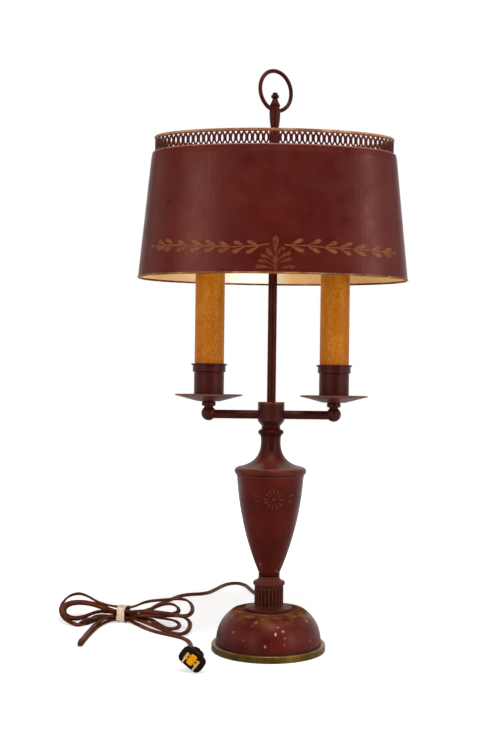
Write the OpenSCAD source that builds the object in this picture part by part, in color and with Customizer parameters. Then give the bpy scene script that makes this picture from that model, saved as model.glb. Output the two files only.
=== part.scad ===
// Bouillotte lamp: a painted metal table lamp with two fixed candle arms, an oval
// shade that slides on a centre rod, a ring finial and a flat cord tied in a hank.
// Millimetres. +Z is up, +X runs along the arms, +Y is the back.

/* [Foot] */
// Outer radius of the brass ring round the foot
ring_r = 61.3; // [58:0.1:75]
// Height of the brass ring above the table
ring_h = 7.2; // [5.4:0.1:12]
// Thickness of the felt under the foot
felt_t = 2; // [1.5:0.1:4]
// How far the felt stands out below the ring
felt_proud = 0.3; // [0.2:0.1:1]
// Radial width of the ring's rounded top, outside the dome
ring_step = 4.8; // [3:0.1:7]
// Height of the dome above the ring
dome_h = 35.3; // [28:0.1:50]
// Radius of the dome's flat top
dome_top_r = 39; // [32:0.1:43]
// Wall of the spun dome
dome_wall = 1.2; // [0.8:0.1:2]

/* [Column] */
// Radius of the check ring on the dome
check_r = 25.3; // [22:0.1:30]
// Height of the check ring
check_h = 4.7; // [4:0.1:9]
// Radius of the fluted column
column_r = 15.6; // [13:0.1:18]
// Height of the fluted column
column_h = 20.8; // [14:0.1:40]
// Number of flutes
flutes = 24; // [12:1:36]
// Radius of the cap moulding
cap_r = 17.3; // [15.5:0.1:21]
// Height of the cap moulding
cap_h = 11.3; // [9:0.1:16]

/* [Vase] */
// Radius of the small bead under the vase
vase_bead_r = 11.7; // [10.6:0.1:14]
// Height of that bead
vase_bead_h = 3.3; // [2.5:0.1:5]
// Radius of the vase where it stands on the bead
vase_foot_r = 11.2; // [9.5:0.1:11.2]
// Radius of the vase at its top
vase_r = 36; // [30:0.1:42]
// Height of the vase
vase_h = 104.4; // [80:0.1:140]
// Wall of the spun vase
vase_wall = 1.5; // [1:0.1:2.5]
// Radius of the shoulder bead on the vase
shoulder_r = 38.8; // [37:0.1:48]
// Height of the shoulder bead
shoulder_h = 9.6; // [7:0.1:13]
// Height of the lid above the shoulder bead
lid_h = 32.7; // [24:0.1:45]
// Radius of the neck
neck_r = 10.5; // [9:0.1:12]
// Radius of the turned bead on the neck
neck_bead_r = 13.9; // [12.6:0.1:16]
// Height of the turned bead piece
neck_bead_h = 10.2; // [8:0.1:14]

/* [Hub and arms] */
// Outer radius of the hub
hub_r = 14.3; // [13:0.1:18]
// Height of the hub
hub_h = 26.9; // [24:0.1:36]
// Distance from the lamp's axis to each candle's axis
arm_reach = 67.4; // [60:0.1:90]
// Outer radius of an arm tube
arm_r = 4.7; // [3.6:0.1:5]
// Radius of the ball at an arm's end
ball_r = 7.9; // [7.2:0.1:10]
// Outer radius of the threaded pipe up the stem
pipe_r = 5; // [4:0.1:5.5]
// Bore radius of the pipe
pipe_bore_r = 3.4; // [2.6:0.1:3.6]

/* [Candles] */
// Radius of the collar under a drip pan
collar_r = 7.5; // [6:0.1:9]
// Height of the collar piece
collar_h = 6.5; // [4:0.1:8]
// Radius of a drip pan's rim
pan_r = 36.4; // [28:0.1:40]
// Rise of a drip pan from its flat to its rim
pan_rise = 6.8; // [4:0.1:9]
// Sheet thickness of a drip pan
pan_wall = 0.8; // [0.6:0.1:1.2]
// Radius of a candle cup's body
cup_r = 16.1; // [14:0.1:17]
// Radius of the band round the top of a cup
cup_band_r = 17.7; // [17.2:0.1:19]
// Radius of the cup's top flange
cup_flange_r = 19.2; // [18.5:0.1:23]
// Height of a candle cup
cup_h = 39.7; // [30:0.1:50]
// Height of the band round the top of a cup
cup_band_h = 7.6; // [5:0.1:12]
// Thickness of the cup's top flange
cup_flange_h = 1.7; // [1.2:0.1:3]
// Outer radius of a candle sleeve
sleeve_r = 15.85; // [13:0.05:16.5]
// Wall of a candle sleeve
sleeve_wall = 1.25; // [0.8:0.05:1.6]
// Length of a candle sleeve
sleeve_h = 140; // [115:1:150]
// Radius of the lamp socket inside a sleeve
socket_r = 11.2; // [9.5:0.1:12]
// Length of the lamp socket
socket_h = 32; // [28:0.5:40]
// Largest radius of a bulb
bulb_r = 17; // [12:0.1:18]
// Height of a bulb's glass
bulb_h = 78; // [60:1:85]

/* [Rod and finial] */
// Radius of the centre rod
rod_r = 4.8; // [3.5:0.1:5]
// Height of the rod's top above the hub
rod_h = 289.6; // [265:0.1:320]
// Radius of the neck piece under the finial
finial_neck_r = 5.8; // [5.4:0.1:8]
// Height of that neck piece
finial_neck_h = 19.5; // [16:0.1:26]
// Largest radius of the finial
finial_r = 5.9; // [5:0.1:8]
// Height of the finial
finial_h = 39; // [34:0.1:50]
// Mean radius of the lifting ring
lift_ring_r = 21.1; // [19:0.1:28]
// Radius of the lifting ring's wire
lift_wire_r = 2.15; // [1.6:0.05:2.6]
// How far the lifting ring is turned from the arms
lift_ring_turn = 38; // [0:1:90]
// How far the lifting ring leans to the right
lift_ring_lean = 2; // [0:1:8]

/* [Shade] */
// Half of the shade's long axis at its top
shade_a = 131.4; // [124:0.1:150]
// Half of the shade's short axis at its top
shade_b = 47; // [44:0.1:60]
// How far the wall spreads from its top to its rim
shade_flare = 13.8; // [10:0.1:20]
// Height of the shade's wall
shade_h = 133.5; // [115:0.5:150]
// Sheet thickness of the shade
shade_wall = 0.7; // [0.5:0.1:1.2]
// Radius of the rolled bead at the rim
rim_bead_r = 1.1; // [1:0.1:2.5]
// Distance from the wall's top edge in to the gallery
gallery_inset = 2.7; // [2:0.1:5]
// Height of the pierced gallery
gallery_h = 14.7; // [11:0.1:18]
// Height of the rolled band on the gallery
gallery_rim_h = 2.7; // [2:0.1:5]
// Number of slots in the gallery
gallery_cells = 100; // [60:2:110]
// Thickness of the gallery's sheet
gallery_wall = 0.8; // [0.6:0.1:1.2]
// Radius of the collar that holds the shade up
lift_collar_r = 8.5; // [7.5:0.1:11]
// Height of that collar
lift_collar_h = 17; // [13:0.5:24]

/* [Cord] */
// Width of the flat cord
cord_w = 5.2; // [4.6:0.1:6]
// Thickness of the flat cord
cord_t = 2.7; // [2.4:0.1:3]
// Height of the tied hank
hank_h = 28; // [24:0.5:34]
// Length of the tie along the hank
tie_w = 10; // [6:0.5:14]
// Width of the plug's face
plug_w = 27; // [24:0.5:32]
// Height of the plug's face
plug_h = 17.6; // [13:0.1:18]

/* [Hidden] */

$fn = 96;
LEFT = -1;
RIGHT = 1;
fit = 0.05;         // radial clearance of a close fit
seat = 0.3;         // clearance between pieces that slip together
running = 0.3;      // gap between faces that move past each other
brass = "olivedrab";
paint = "maroon";

// Foot, from the table up
felt_r = ring_r - 3.8;
dome_r = ring_r - ring_step;
dome_in_r = dome_r - dome_wall;
flange_r = dome_in_r - 5;
flange_t = 2;
weight_r = dome_in_r - 0.4;
weight_boss_r = flange_r - seat;
weight_top = ring_h + 3.8;
recess_r = 12;
nut_h = 3.5;
washer_t = 1.2;
nut_z = felt_t + 0.6;
washer_z = nut_z + nut_h;
recess_top = washer_z + washer_t;
dome_top = ring_h + dome_h;

// Stem, from the dome up
column_z = dome_top + check_h;
cap_z = column_z + column_h;
vase_bead_z = cap_z + cap_h;
vase_z = vase_bead_z + vase_bead_h;
shoulder_z = vase_z + vase_h;
lid_z = shoulder_z + shoulder_h;
neck_z = lid_z + lid_h;
hub_z = neck_z + neck_bead_h;
hub_top = hub_z + hub_h;
hub_floor = hub_z + 6;
hub_roof = hub_top - 3.8;
hub_cavity_r = hub_r - 4.3;
pipe_hole_r = pipe_r + fit;
arm_z = hub_z + 13.3;
nut_r = pipe_r + 4.1;

// Candle arms
ball_z = arm_z + 0.9;
collar_z = ball_z + ball_r - 1.7;
collar_neck_r = sqrt(ball_r * ball_r - (collar_z - ball_z) * (collar_z - ball_z));
pan_z = collar_z + collar_h;
pan_flat_r = 12;
cup_z = pan_z + pan_wall;
cup_floor = cup_z + 1.8;
cup_top = cup_z + cup_h;
sleeve_seat = cup_top - 3.9;
sleeve_top = sleeve_seat + sleeve_h;
stub_r = 2.6;
post_r = 5;
post_bore_r = 1.6;
socket_top = sleeve_top - 2;
socket_z = socket_top - socket_h;
shell_r = 6.5;
shell_wall = 0.4;
shell_z = socket_z + 8;
cap_tip_h = 2.5;
bulb_cap_r = 5.8;
bulb_z = sleeve_top;
bulb_wall = 0.7;
key_z = shell_z - 4;
key_r = 1.5;
key_gap = 1.4;      // from the sleeve to the key's paddle
key_t = 3;

// Rod, finial and shade
rod_top = hub_top + rod_h;
finial_neck_top = rod_top + 4.5;
finial_neck_z = finial_neck_top - finial_neck_h;
finial_z = finial_neck_top + running;
stud_r = 2.4;
lift_ring_foot = finial_z + 19.9;                // centre of the wire inside the finial
shade_clear = 22.4;                              // from the rod's top down to the shade's
bead_flat = rim_bead_r * cos(22.5);              // from the rolled bead's centre to its flats
shade_top = rod_top - shade_clear;
wall_z = shade_top - shade_h;
rim_z = wall_z - bead_flat;                      // centre of the rolled bead
ledge_t = 0.8;
ledge_in = gallery_inset + 1.8;
strip_t = 1.8;
strip_w = 9;
spider_z = shade_top - ledge_t - strip_t;
spider_hub_r = lift_collar_r + 1;
spider_hub_h = 8;
rod_hole_r = rod_r + fit;
lift_collar_top = spider_z - 1.4 - running;
lift_collar_z = lift_collar_top - lift_collar_h;
screw_r = 2;
gallery_top = shade_top + gallery_h;
oval_steps = 120;

// Cord: the route's points are chosen by hand, in the order from the foot to the plug
bushing_z = 16;
bushing_out = 22;
LEAD = [
    [0, 78.6, 16], [0, 92, 15.4], [0.5, 108, 11.5], [1.5, 125, 5.5], [3, 143, 1.9], [5, 167, 1.4],
    [5, 195, 1.4], [1, 225, 1.4], [-6, 252, 1.4], [-15, 276, 1.4], [-22, 298, 1.4],
    [-28, 322, 1.4], [-35, 345, 1.4], [-46, 357, 1.4], [-58, 350, 1.4], [-67, 331, 1.4],
    [-75, 306, 1.4], [-83, 287, 1.4], [-93, 278, 1.4], [-106, 274, 1.4], [-117, 264, 1.4],
    [-127, 243, 1.4], [-134, 225, 1.4], [-142, 204, 1.4], [-147, 182, 1.5], [-153, 160, 2],
    [-157, 142, 3], [-158.5, 129, 4.4]
];
TAIL = [
    [-166, 117, 2.6], [-161, 107, 2], [-155, 98, 1.6], [-143, 82, 1.4], [-131, 67, 1.4],
    [-120, 57, 1.4], [-110, 49, 1.4], [-100, 41, 1.4], [-92, 31, 1.4], [-86.5, 17, 1.4],
    [-83.5, 0, 1.4], [-81.3, -14, 2.4], [-77, -31, 6.6], [-72.6, -50, 12.2], [-71.3, -72.7, 14.5]
];
tie_at = [-178, 127];
tie_turn = -14;
waist_w = 19;
waist_h = 19.5;
waist_z = 1.6;
tie_t = 1.2;
plug_at = [-74.9, -98.4, 13.6];
plug_roll = 38;
plug_pitch = 2;
plug_yaw = -8;
plug_depth = 14;
plug_grip_w = 16.6;
plug_flange = 4;
plug_back = 26;
blade_gap = 12.7;
blade_w = 6.35;
blade_t = 1.5;
blade_l = 16;

// ---- Geometry helpers ----

// Points of a quadratic curve from a to c that is pulled towards b
function curve(a, b, c, n = 16) =
    [for (i = [0 : n]) let (t = i / n) (1 - t) * (1 - t) * a + 2 * t * (1 - t) * b + t * t * c];

// Points of an arc round centre c, from angle a0 to a1
function arc(c, r, a0, a1, n = 8) =
    [for (i = [0 : n]) let (a = a0 + (a1 - a0) * i / n) c + r * [cos(a), sin(a)]];

// A turned solid from an outline of [radius, height] points
module turned(outline) {
    rotate_extrude() polygon(outline);
}

module pipe(r, bore, z0, z1) {
    translate([0, 0, z0]) difference() {
        cylinder(r = r, h = z1 - z0);
        translate([0, 0, -1]) cylinder(r = bore, h = z1 - z0 + 2);
    }
}

// Point of the oval that runs a distance "out" outside the shade's top edge
function oval_point(a, out) =
    let (n = [shade_b * cos(a), shade_a * sin(a)])
    [shade_a * cos(a), shade_b * sin(a)] + out * n / norm(n);

// A closed outline of [out, height] points, swept round the oval
module oval_sweep(outline) {
    m = len(outline);
    polyhedron(
        [for (i = [0 : oval_steps - 1]) for (p = outline)
            concat(oval_point(360 * i / oval_steps, p[0]), [p[1]])],
        [for (i = [0 : oval_steps - 1]) for (j = [0 : m - 1])
            let (k = (i + 1) % oval_steps, l = (j + 1) % m)
            [i * m + j, i * m + l, k * m + l, k * m + j]]
    );
}

// Smooth route through hand-set points, with "steps" pieces between two of them
function through(p, steps) = concat(
    [for (i = [0 : len(p) - 2]) for (s = [0 : steps - 1])
        let (a = p[max(i - 1, 0)], b = p[i], c = p[i + 1], d = p[min(i + 2, len(p) - 1)], t = s / steps)
        0.5 * (2 * b + (c - a) * t + (2 * a - 5 * b + 4 * c - d) * t * t
            + (3 * b - a - 3 * c + d) * t * t * t)],
    [p[len(p) - 1]]);

// Flat cord swept along a route, its width level with the table
module flat_cord(route) {
    w = cord_w / 2;
    t = cord_t / 2;
    section = [[w, t / 2], [w - t / 2, t], [t / 2 - w, t], [-w, t / 2],
        [-w, -t / 2], [t / 2 - w, -t], [w - t / 2, -t], [w, -t / 2]];
    m = len(section);
    n = len(route);
    rings = [for (i = [0 : n - 1])
        let (d = route[min(i + 1, n - 1)] - route[max(i - 1, 0)],
            ahead = d / norm(d),
            across = cross(ahead, [0, 0, 1]) / norm(cross(ahead, [0, 0, 1])),
            up = cross(across, ahead))
        for (p = section) route[i] + p[0] * across + p[1] * up];
    polyhedron(rings, concat(
        [[for (j = [0 : m - 1]) j]],
        [[for (j = [0 : m - 1]) n * m - 1 - j]],
        [for (i = [0 : n - 2]) for (j = [0 : m - 1]) let (l = (j + 1) % m)
            [i * m + l, i * m + j, (i + 1) * m + j, (i + 1) * m + l]]));
}

// Children drawn on the right candle's axis, mirrored for the left one
module at_candle(side) {
    mirror([side == LEFT ? 1 : 0, 0, 0]) translate([arm_reach, 0, 0]) children();
}

// ---- Foot ----

module base_felt() {
    color("darkgreen") cylinder(r = felt_r, h = felt_t);
}

module base_ring() {
    edge = 1.6;
    lip = 0.3;
    top_in = dome_r + 0.5;
    color(brass) turned(concat(
        [[felt_r + seat, felt_t], [felt_r + seat, felt_proud]],
        arc([ring_r - 0.4, felt_proud + 0.4], 0.4, -90, 0),
        arc([ring_r - edge, ring_h + lip - edge], edge, 0, 90),
        [[top_in + lip, ring_h + lip], [top_in, ring_h], [flange_r, ring_h],
            [flange_r, ring_h - flange_t],
            [dome_in_r, ring_h - flange_t], [dome_in_r, felt_t]]));
}

// Side of a full-shouldered dome, a superellipse from the ring to the flat top
function dome_side(r, h) =
    let (n = 2.3, top = pow(dome_top_r / r, n), full_h = h / pow(1 - top, 1 / n),
        last = acos(sqrt(top)))
    [for (i = [0 : 20]) let (a = last * i / 20)
        [r * pow(cos(a), 2 / n), ring_h + full_h * pow(sin(a), 2 / n)]];

module base_dome() {
    side = dome_side(dome_r, dome_h);
    inside = dome_side(dome_in_r, dome_h - dome_wall);
    n = len(inside) - 1;
    color(paint) difference() {
        turned(concat(side, [[pipe_hole_r, dome_top], [pipe_hole_r, dome_top - dome_wall]],
            [for (i = [n : -1 : 0]) inside[i]]));
        translate([0, 0, bushing_z]) rotate([-90, 0, 0]) cylinder(r = 4.3, h = dome_r + 5);
    }
}

module base_weight() {
    color("dimgray") difference() {
        union() {
            translate([0, 0, felt_t]) cylinder(r = weight_r, h = ring_h - flange_t - felt_t);
            translate([0, 0, felt_t]) cylinder(r = weight_boss_r, h = weight_top - felt_t);
        }
        translate([0, 0, felt_t - 1]) cylinder(r = recess_r, h = recess_top - felt_t + 1);
        cylinder(r = pipe_hole_r + seat, h = weight_top + 1);
    }
}

module base_washer() {
    color("silver") pipe(recess_r - 1.5, pipe_hole_r, washer_z, recess_top);
}

// One nut under the foot and one on the hub's floor
module pipe_nuts() {
    color("silver") for (z = [nut_z, hub_floor]) translate([0, 0, z]) difference() {
        cylinder(r = nut_r, h = nut_h, $fn = 6);
        translate([0, 0, -1]) cylinder(r = pipe_hole_r, h = nut_h + 2);
    }
}

// The pipe has a side hole near its foot, where the cord's wires go in
module stem_pipe() {
    color("gray") difference() {
        pipe(pipe_r, pipe_bore_r, nut_z, hub_floor + nut_h + 0.6);
        translate([0, 0, bushing_z]) rotate([-90, 0, 0]) cylinder(r = 2, h = pipe_r + 2);
    }
}

module check_ring() {
    edge = 0.36 * check_h;
    color(paint) turned(concat(
        [[pipe_hole_r, dome_top], [check_r - 1, dome_top]],
        arc([check_r - edge, dome_top + edge + 0.5], edge, -30, 75),
        curve([check_r - edge - 1.2, column_z - 1], [column_r + 3, column_z - 0.5],
            [column_r + 1.6, column_z], 6),
        [[pipe_hole_r, column_z]]));
}

module fluted_column() {
    flute_r = PI * column_r / flutes * 0.86;
    land = 1.4;
    color(paint) difference() {
        pipe(column_r, pipe_hole_r, column_z, cap_z);
        for (i = [0 : flutes - 1]) rotate([0, 0, (i + 0.5) * 360 / flutes])
            translate([column_r + flute_r * 0.55, 0, column_z + land])
                cylinder(r = flute_r, h = column_h - 2 * land, $fn = 24);
    }
}

module column_cap() {
    bead = 2.4;
    color(paint) turned(concat(
        [[pipe_hole_r, cap_z], [column_r - 0.9, cap_z], [column_r - 0.6, cap_z + 1.2]],
        arc([cap_r - bead, cap_z + 3.6], bead, -70, 60),
        curve([cap_r - 2.2, cap_z + 6.2], [vase_bead_r - 0.2, cap_z + 6.8],
            [vase_bead_r - 0.4, vase_bead_z], 8),
        [[pipe_hole_r, vase_bead_z]]));
}

module vase_bead() {
    r = vase_bead_h / 2;
    color(paint) turned(concat([[pipe_hole_r, vase_bead_z]],
        arc([vase_bead_r - r, vase_bead_z + r], r, -90, 90), [[pipe_hole_r, vase_z]]));
}

// Outline of the vase's side, from its foot to its top, moved in by "inset"
function vase_side(inset) = curve([vase_foot_r - inset, vase_z],
    [vase_foot_r + 0.85 * (vase_r - vase_foot_r) - inset, vase_z + 0.465 * vase_h],
    [vase_r - inset, shoulder_z], 24);

module vase_body() {
    inside = vase_side(vase_wall);
    floor_at = 2;
    color(paint) turned(concat(vase_side(0),
        [for (i = [len(inside) - 1 : -1 : floor_at]) inside[i]],
        [[pipe_hole_r, inside[floor_at][1]], [pipe_hole_r, vase_z]]));
}

// Shoulder bead, concave lid and neck, turned in one piece
module vase_lid() {
    r = shoulder_h / 2 - 0.4;
    lip = vase_r + 0.5;
    mouth = vase_r - 2 * vase_wall;
    color(paint) turned(concat(
        [[mouth, shoulder_z], [lip, shoulder_z], [lip, shoulder_z + 0.7]],
        arc([shoulder_r - r, shoulder_z + shoulder_h / 2 + 0.3], r, -80, 80, 12),
        curve([shoulder_r - 3.8, lid_z], [neck_r - 0.3, lid_z + lid_h * 0.14],
            [neck_r + 0.2, lid_z + lid_h * 0.84], 20),
        [[neck_r + 0.4, neck_z], [pipe_hole_r, neck_z], [pipe_hole_r, lid_z + lid_h * 0.8]],
        curve([neck_r - 3, lid_z + lid_h * 0.78], [neck_r - 1, lid_z - 1],
            [mouth - 4, lid_z - 2.5], 8),
        [[mouth, shoulder_z + 3]]));
}

module neck_bead() {
    r = 3.1;
    mid = neck_z + neck_bead_h * 0.45;
    color(paint) turned(concat(
        [[pipe_hole_r, neck_z], [neck_r + 0.9, neck_z], [neck_r + 0.9, mid - r]],
        arc([neck_bead_r - r, mid], r, -80, 80),
        [[neck_r + 0.4, mid + r], [neck_r - 0.4, mid + r + 0.8], [neck_r - 0.4, hub_z],
            [pipe_hole_r, hub_z]]));
}

// ---- Hub and arms ----

module arm_hub() {
    color(paint) difference() {
        turned([[0, hub_z], [hub_r - 4.6, hub_z], [hub_r - 4.1, hub_z + 1.6], [hub_r, hub_z + 6.5],
            [hub_r, hub_top - 2], [0, hub_top - 2]]);
        translate([0, 0, hub_z - 1]) cylinder(r = pipe_hole_r, h = 10);
        translate([0, 0, hub_floor]) cylinder(r = hub_cavity_r, h = hub_roof - hub_floor);
        cylinder(r = rod_hole_r, h = hub_top);
        translate([-hub_r - 1, 0, arm_z]) rotate([0, 90, 0])
            cylinder(r = arm_r + fit, h = 2 * hub_r + 2);
    }
}

// Crimped edge on top of the hub
module hub_rim() {
    notch_r = 0.9;
    notches = 28;
    color("peru") difference() {
        pipe(hub_r, rod_hole_r, hub_top - 2, hub_top);
        for (i = [0 : notches - 1]) rotate([0, 0, i * 360 / notches])
            translate([hub_r + 0.35, 0, hub_top - 1.6]) cylinder(r = notch_r, h = 2, $fn = 16);
    }
}

// The wiring, as one branched lead from the foot to both sockets
module inner_wire() {
    r = 1.3;
    branch_r = 1.1;
    color("saddlebrown") union() {
        translate([0, 0, bushing_z]) rotate([-90, 0, 0]) cylinder(r = r, h = dome_in_r - 3.8);
        translate([0, 0, bushing_z]) cylinder(r = r, h = arm_z - bushing_z);
        translate([-arm_reach, 0, arm_z]) rotate([0, 90, 0])
            cylinder(r = branch_r, h = 2 * arm_reach);
        for (side = [LEFT, RIGHT]) translate([side * arm_reach, 0, arm_z])
            cylinder(r = branch_r, h = socket_z - arm_z);
        translate([0, 0, bushing_z]) sphere(r = r);
    }
}

module arm_tube(side) {
    x0 = hub_cavity_r + 0.2 - arm_reach;
    color(paint) at_candle(side) translate([x0, 0, arm_z]) rotate([0, 90, 0]) difference() {
        cylinder(r = arm_r, h = -5.6 - x0);
        translate([0, 0, -1]) cylinder(r = arm_r - 1.7, h = -3.6 - x0);
    }
}

module arm_ball(side) {
    color(paint) at_candle(side) difference() {
        translate([0, 0, ball_z]) sphere(r = ball_r);
        translate([0, 0, collar_z]) cylinder(r = ball_r, h = ball_r);
        translate([0, 0, arm_z - 2.2]) cylinder(r = stub_r + fit, h = ball_r + 8);
        translate([-ball_r - 2, 0, arm_z]) rotate([0, 90, 0])
            cylinder(r = arm_r + fit, h = ball_r - 3.6);
        translate([-ball_r, 0, arm_z]) rotate([0, 90, 0]) cylinder(r = 2, h = ball_r);
    }
}

// ---- Candles ----

module cup_collar(side) {
    lower = 1.4;
    edge = 1;
    color(paint) at_candle(side) turned([[stub_r + fit, collar_z], [collar_neck_r, collar_z],
        [collar_neck_r, collar_z + lower], [collar_r - edge, collar_z + lower],
        [collar_r, collar_z + lower + edge], [collar_r, pan_z - edge], [collar_r - edge, pan_z],
        [stub_r + fit, pan_z]]);
}

// Thin conical dish with a rolled rim
module drip_pan(side) {
    rim = 0.9;
    color(paint) at_candle(side) turned(concat(
        [[stub_r + fit, pan_z], [pan_flat_r, pan_z], [pan_r - 2 * rim, pan_z + pan_rise - rim]],
        arc([pan_r - rim, pan_z + pan_rise], rim, -90, 150),
        [[pan_flat_r, cup_z], [stub_r + fit, cup_z]]));
}

module candle_cup(side) {
    wall = 1.6;
    band_z = cup_top - cup_flange_h - cup_band_h;
    foot_r = pan_flat_r - 0.5;
    color(paint) at_candle(side) turned([
        [stub_r + fit, cup_z], [foot_r, cup_z], [cup_r - 1, cup_z + 3.6], [cup_r, cup_z + 6.5],
        [cup_r, band_z], [cup_band_r, band_z + 0.8], [cup_band_r, cup_top - cup_flange_h],
        [cup_flange_r, cup_top - cup_flange_h], [cup_flange_r, cup_top],
        [sleeve_r + seat, cup_top], [sleeve_r + seat, sleeve_seat], [cup_r - wall, sleeve_seat],
        [cup_r - wall, cup_floor + 4], [foot_r - 0.4, cup_floor], [stub_r + fit, cup_floor]]);
}

module candle_sleeve(side) {
    color("peru") at_candle(side) difference() {
        pipe(sleeve_r, sleeve_r - sleeve_wall, sleeve_seat, sleeve_top);
        translate([-sleeve_r - 1, 0, key_z]) rotate([0, 90, 0])
            cylinder(r = key_r + 1.2, h = sleeve_r);
    }
}

// Post with a turned-down foot that clamps ball, collar, pan and cup
module socket_post(side) {
    color("gray") at_candle(side) turned([[post_bore_r, arm_z + 3.7], [stub_r, arm_z + 3.7],
        [stub_r, cup_floor], [post_r, cup_floor], [post_r, socket_z], [post_bore_r, socket_z]]);
}

module socket(side) {
    color("black") at_candle(side) difference() {
        translate([0, 0, socket_z]) cylinder(r = socket_r, h = socket_h);
        translate([0, 0, shell_z]) cylinder(r = shell_r + fit, h = socket_h);
        translate([-socket_r - 1, 0, key_z]) rotate([0, 90, 0])
            cylinder(r = key_r + fit, h = socket_r - 3);
    }
}

module screw_shell(side) {
    color("gold") at_candle(side) pipe(shell_r, shell_r - shell_wall, shell_z, socket_top - 0.5);
}

// Flame-shaped bulb, blown hollow
module bulb_glass(side) {
    belly = bulb_h * 0.36;
    outside = concat(
        curve([bulb_cap_r + 0.6, 0], [bulb_r + 0.3, bulb_h * 0.1], [bulb_r, belly], 10),
        curve([bulb_r, belly + 0.5], [bulb_r - 1.2, bulb_h * 0.72], [2.6, bulb_h - 1.6], 14),
        [[0, bulb_h]]);
    inside = concat(
        curve([bulb_cap_r - 0.2, 0], [bulb_r - 0.5, bulb_h * 0.1], [bulb_r - bulb_wall, belly], 10),
        curve([bulb_r - bulb_wall, belly + 0.5], [bulb_r - 2, bulb_h * 0.7], [2.1, bulb_h - 3], 14),
        [[0, bulb_h - 2]]);
    color("ivory") at_candle(side) translate([0, 0, bulb_z])
        turned(concat(outside, [for (i = [len(inside) - 1 : -1 : 0]) inside[i]]));
}

module bulb_cap(side) {
    color("silver") at_candle(side) turned([[0, shell_z], [2.4, shell_z],
        [bulb_cap_r - 0.6, shell_z + cap_tip_h], [bulb_cap_r, shell_z + cap_tip_h + 0.8],
        [bulb_cap_r, bulb_z - 1.2], [bulb_cap_r + 0.5, bulb_z], [0, bulb_z]]);
}

// Turn key on the side of the candle that faces the rod
module switch_key(side) {
    paddle_x = sleeve_r + key_gap;
    color("black") at_candle(side) union() {
        translate([-paddle_x - 0.1, 0, key_z]) rotate([0, 90, 0])
            cylinder(r = key_r, h = paddle_x - socket_r + 3.6);
        translate([-paddle_x - key_t, -2, key_z - 5]) cube([key_t, 4, 10]);
    }
}

// ---- Rod, finial and shade ----

module centre_rod() {
    color(paint) translate([0, 0, hub_roof]) cylinder(r = rod_r, h = rod_top - hub_roof);
}

module finial_neck() {
    color(paint) difference() {
        translate([0, 0, finial_neck_z]) cylinder(r = finial_neck_r, h = finial_neck_h);
        translate([0, 0, finial_neck_z - 1])
            cylinder(r = rod_hole_r, h = rod_top - finial_neck_z + 1);
        translate([0, 0, rod_top - 1]) cylinder(r = stud_r + fit, h = 20);
    }
}

module lift_ring(wire_r) {
    translate([0, 0, lift_ring_foot]) rotate([0, lift_ring_lean, 0])
        translate([0, 0, lift_ring_r]) rotate([90, 0, lift_ring_turn]) rotate_extrude()
            translate([lift_ring_r, 0]) circle(r = wire_r);
}

module finial() {
    foot_r = finial_r * 0.68;
    groove_z = finial_z + 23;
    neck_at = finial_z + 32.4;
    knob = finial_h - 32.9;
    color(paint) difference() {
        union() {
            turned(concat(
                curve([foot_r, finial_z], [finial_r + 0.3, finial_z + 9], [finial_r, groove_z - 1.4]),
                [[finial_r - 1.1, groove_z - 0.5], [finial_r - 1.1, groove_z + 0.5],
                    [finial_r - 0.2, groove_z + 1.4]],
                curve([finial_r - 0.3, groove_z + 3], [finial_r - 2.8, neck_at - 2.4], [2.8, neck_at], 6),
                [[2.8, neck_at + 0.5], [4.3, neck_at + 0.5 + knob * 0.16],
                    [4.3, neck_at + 0.5 + knob * 0.5], [2.9, neck_at + 0.5 + knob * 0.6],
                    [2.9, finial_z + finial_h - 0.8], [2, finial_z + finial_h],
                    [0, finial_z + finial_h], [0, finial_z]]));
            translate([0, 0, rod_top + 0.4]) cylinder(r = stud_r, h = finial_z - rod_top);
        }
        lift_ring(lift_wire_r + fit);
    }
}

module finial_ring() {
    color(brass) lift_ring(lift_wire_r);
}

module shade_collar() {
    color("gray") difference() {
        pipe(lift_collar_r, rod_hole_r, lift_collar_z, lift_collar_top);
        translate([0, 0, lift_collar_top - 8.5]) rotate([-90, 0, 0])
            cylinder(r = screw_r + fit, h = lift_collar_r + 2);
    }
}

// Thumb screw at the back of the collar
module collar_screw() {
    head_t = 3.4;
    color(brass) translate([0, 0, lift_collar_top - 8.5]) rotate([-90, 0, 0]) union() {
        translate([0, 0, rod_r + 0.15]) cylinder(r = screw_r, h = lift_collar_r + 4.2 - rod_r);
        translate([0, 0, lift_collar_r + 3.8]) difference() {
            cylinder(r = 6, h = head_t);
            for (i = [0 : 13]) rotate([0, 0, i * 360 / 14])
                translate([6.4, 0, -1]) cylinder(r = 0.9, h = head_t + 2, $fn = 16);
        }
    }
}

// Strip from the front of the shade to its back, with a ring that turns on the rod
module shade_spider() {
    reach = shade_b - shade_wall - 1.2;
    color("gray") difference() {
        union() {
            translate([0, 0, spider_z - 1.4]) cylinder(r = spider_hub_r, h = spider_hub_h);
            translate([-strip_w / 2, -reach, spider_z]) cube([strip_w, 2 * reach, strip_t]);
        }
        translate([0, 0, spider_z - 3]) cylinder(r = rod_hole_r, h = spider_hub_h + 5);
    }
}

module shade_body() {
    color(paint) oval_sweep([
        [shade_flare, wall_z], [1.1, shade_top - 7], [0.1, shade_top - 0.9], [-0.7, shade_top],
        [-ledge_in, shade_top], [-ledge_in, shade_top - ledge_t],
        [-shade_wall, shade_top - ledge_t], [1.1 - shade_wall, shade_top - 7],
        [shade_flare - shade_wall, wall_z]]);
}

module shade_bead() {
    color("peru") oval_sweep([for (i = [0 : 7]) let (a = 22.5 + 45 * i)
        [shade_flare - shade_wall / 2 + rim_bead_r * cos(a), rim_z + rim_bead_r * sin(a)]]);
}

// Distance run round the gallery's oval, against the oval's angle
function oval_run(a, total, last) = a > 360 ? [] :
    let (p = oval_point(a, -gallery_inset), run = total + norm(p - last))
    concat([[run, a]], oval_run(a + 2, run, p));

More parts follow.
